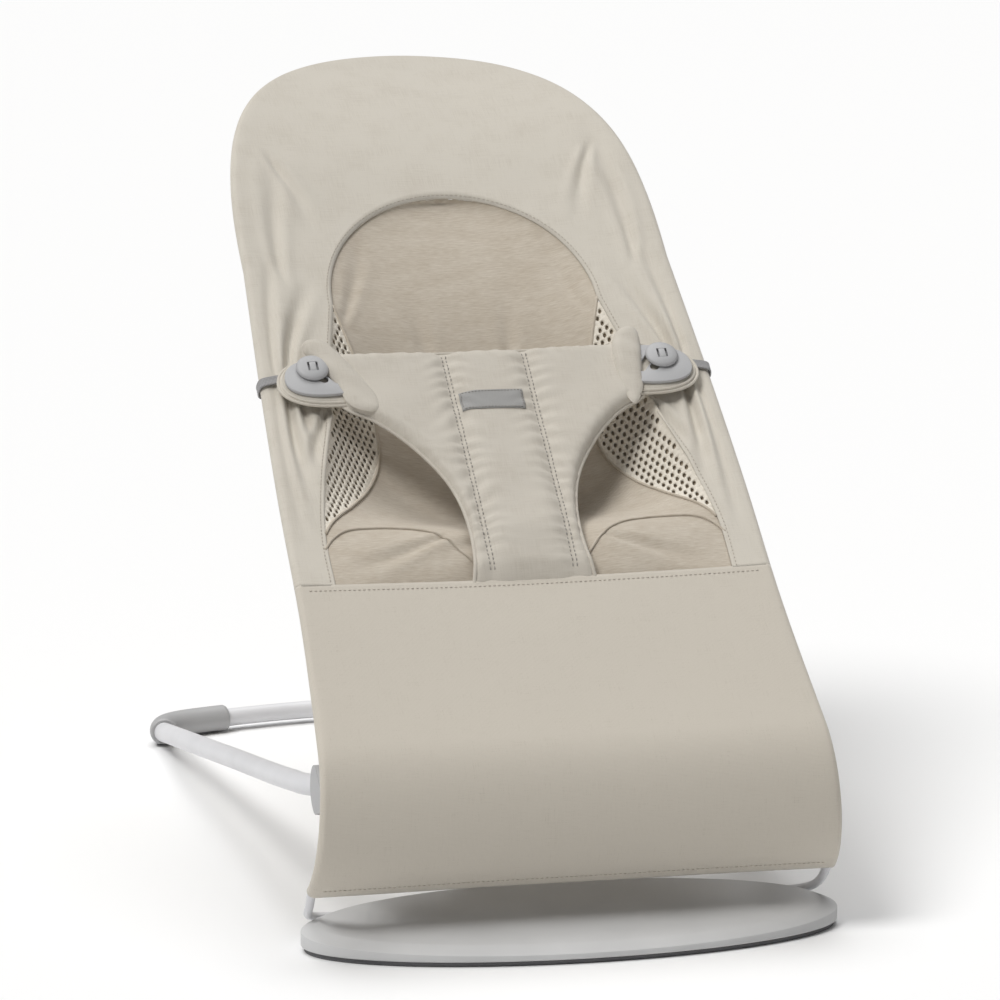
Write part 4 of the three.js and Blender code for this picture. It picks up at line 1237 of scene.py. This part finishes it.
def add_foot_plate():
    """Weighted oval plate: a rounded rim, a sloping bevel and a flat top that rises to the rear."""
    def underside(y):
        return 0 * y

    def rim(y):
        return 8 + 12 * y / 150

    def top(y):
        return 12 + 14 * y / 150

    levels = [(3.0, underside, 3.7), (0.6, underside, 3.8), (0.0, underside, 4.6), (0.0, rim, -0.7),
              (0.3, rim, -0.1), (1.0, rim, 0.3), (10.6, top, -0.55), (12.2, top, -0.1), (14, top, 0),
              (40, top, 0)]
    rings = [plate_ring(inset, lambda y: level(y) + extra) for inset, level, extra in levels]
    made = turned_out(make_object("weighted_plate", rings, barrel_faces(len(rings), 160), PLATE))
    carve(made, plate_cutters())
    smooth_by_angle(made, 28)
    settle(made, "plate_plastic", "foot", "foot_plate")
    levels = [(8, 0.0), (3.2, 0.0), (2.5, 0.6), (2.5, 2.8), (3.1, 3.4), (8, 3.4)]
    rings = [plate_ring(inset, lambda y: z + 0 * y) for inset, z in levels]
    sole = turned_out(make_object("rubber_sole", rings, barrel_faces(len(rings), 160), RUBBER))
    smooth_by_angle(sole, 35)
    settle(sole, "rubber", "foot", "foot_grip_pad")


def plate_cutters():
    """Room in the foot plate for the wire's channel, its two corners and the three clips."""
    low = FOOT_AXIS
    cutters = [box_solid("channel", -0.21, 0.21, low.y - 4.4 * MM, low.y + 4.4 * MM, -0.01, low.z + 4.2 * MM)]
    for side in (1, -1):
        path = spline(wire_corner([(160, 0, 0), *WIRE_CORNER, (190.4, -40, 26)], side), 60)
        cutters.append(turned_out(tube("corner_room", path, 5.6 * MM, PLATE, 16)))
    room = 0.4 * MM
    for number in (1, 2, 3):
        centre, size = box_parts(f"wire_clip_{number}")
        cutters.append(box_solid("clip_room", centre[0] - size[0] - room, centre[0] + size[0] + room,
                                 centre[1] - size[1] - room, centre[1] + size[1] + room, -0.01,
                                 centre[2] + size[2] + 6.2 * MM))
    return cutters


def box_parts(node):
    """Centre and half size of a CAD node's box."""
    low, high = np.array(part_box(node)[0]), np.array(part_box(node)[1])
    return (low + high) / 2, (high - low) / 2


def box_solid(name, x0, x1, y0, y1, z0, z1):
    points = [(x, y, z) for z in (z0, z1) for x, y in ((x0, y0), (x1, y0), (x1, y1), (x0, y1))]
    return make_object(name, points, BOX_FACES, PLASTIC, smooth=False)


LEG_TUBE_RADIUS = 8 * MM
ELBOW_RADIUS = 10.9 * MM
leg_spread = smooth_through([(69, 174.75), (95, 175.05), (129, 183.5), (164, 185), (400, 186), (718, 187),
                             (758, 187.1)])


def leg_point(y_from_front):
    """Middle of the right side tube at a distance in millimetres behind the front plane."""
    y = y_from_front * MM
    return (float(leg_spread(y)), FRONT_Y + y, HINGE.z - 0.166 * (y - (HINGE.y - FRONT_Y)))


def bar_point(x):
    """Middle of the rear bar, a flat arc, at x in millimetres."""
    low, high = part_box("rear_bar")[0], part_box("rear_bar")[1]
    radius = 0.481
    middle_y = high[1] - 7.25 * MM
    return (x * MM, middle_y - radius + math.sqrt(radius ** 2 - (x * MM) ** 2), (low[2] + high[2]) / 2)


def add_leg_frame():
    bar = tube("rear_cross_bar", [bar_point(x) for x in np.linspace(-142, 142, 90)], 7.25 * MM, PAINT, 28)
    settle(bar, "frame_paint", "legs", "rear_bar")
    for side, suffix in ((1, "right"), (-1, "left")):
        path = spline([leg_point(y) for y in (92, 104, 118, 134, 150, 164, 240, 400, 560, 728)], 220)
        leg = tube(f"side_tube_{suffix}", path * (side, 1, 1), LEG_TUBE_RADIUS, PAINT, 28)
        settle(leg, "frame_paint", "legs", f"leg_tube_{suffix}")
        add_elbow(side, suffix)


def add_elbow(side, suffix):
    """Moulded corner that takes the side tube and the cross bar, flattened underneath."""
    mouth, end = np.array(leg_point(718)), np.array(bar_point(128))
    turn = math.asin(128 / 481)
    reach = np.array((36 * math.cos(turn), -36 * math.sin(turn), 0)) * MM
    path = bezier(mouth, mouth + np.array((0.2, 30, -1)) * MM, end + reach, end, 60)
    lengths = lengths_along(path)
    from_end = np.minimum(lengths, lengths[-1] - lengths)
    radii = np.where(from_end < 1.2 * MM, ELBOW_RADIUS - 1.0 * MM, ELBOW_RADIUS)
    made = tube(f"corner_sleeve_{suffix}", path * (side, 1, 1), ELBOW_RADIUS, PLASTIC, 32, radii=radii)
    for vertex in made.data.vertices:
        vertex.co.z = max(vertex.co.z, 2.4 * MM)
    smooth_by_angle(made, 40)
    settle(made, "grey_plastic", "legs", f"leg_elbow_{suffix}")


COVER_INNER_X = 183 * MM
COVER_OUTER_X = 188.4 * MM


def add_hinge_covers():
    """Rounded outer cover of each leg hinge."""
    hinge_y, hinge_z = HINGE.y, HINGE.z
    rear = ellipse((hinge_y, hinge_z), (18 * MM, 18 * MM), 24, -math.pi / 2, math.pi)
    front = ellipse((hinge_y - 18 * MM, hinge_z - 3 * MM), (8.5 * MM, 8.5 * MM), 16, math.pi * 0.6,
                    math.pi * 0.8)
    outline = np.vstack([rear, front])
    for side, suffix in ((1, "right"), (-1, "left")):
        upright = Matrix(((0, 0, 1, side * (COVER_INNER_X + COVER_OUTER_X) / 2), (1, 0, 0, 0), (0, 1, 0, 0),
                          (0, 0, 0, 1)))
        cover = cut_plate(f"hinge_cover_{suffix}", [outline], COVER_OUTER_X - COVER_INNER_X, 1.6 * MM, 4,
                          upright, PLASTIC)
        settle(cover, "grey_plastic", "root")


# Finishes of the hard parts, by how the names of the nodes start.
CAD_FINISHES = (
    (PAINT, ("base_wire", "seat_wire", "leg_tube", "rear_bar")),
    (PLASTIC, ("wire_clip", "hinge_housing", "leg_hub", "leg_elbow", "tab", "button")),
    (PLATE, ("foot_plate",)),
    (RUBBER, ("foot_grip_pad", "elbow_pad")),
    (STEEL, ("clip_screw", "housing_screw", "hinge_pin", "click_spring")))


def paint_cad():
    """Fine finishes on the hard parts that keep their own shapes."""
    for name, node in frame["nodes"].items():
        for finish, starts in CAD_FINISHES:
            if name.startswith(starts):
                node.data.materials.clear()
                node.data.materials.append(finish)


add_camera()
add_stage()
paint_cad()
add_border()
add_leg_rest()
add_jersey()
for side, suffix in ((1, "right"), (-1, "left")):
    add_air_mesh(side, suffix)
    add_flap(side, suffix)
    add_tab(side, suffix)
    add_button(side, suffix)
    add_webbing(side, suffix)
add_seam_cords()
add_seam_stitches()
add_restraint()
for suffix in ("left", "right"):
    add_arm_fold(suffix)
add_label()
add_base_wires()
add_foot_plate()
add_leg_frame()
add_hinge_covers()
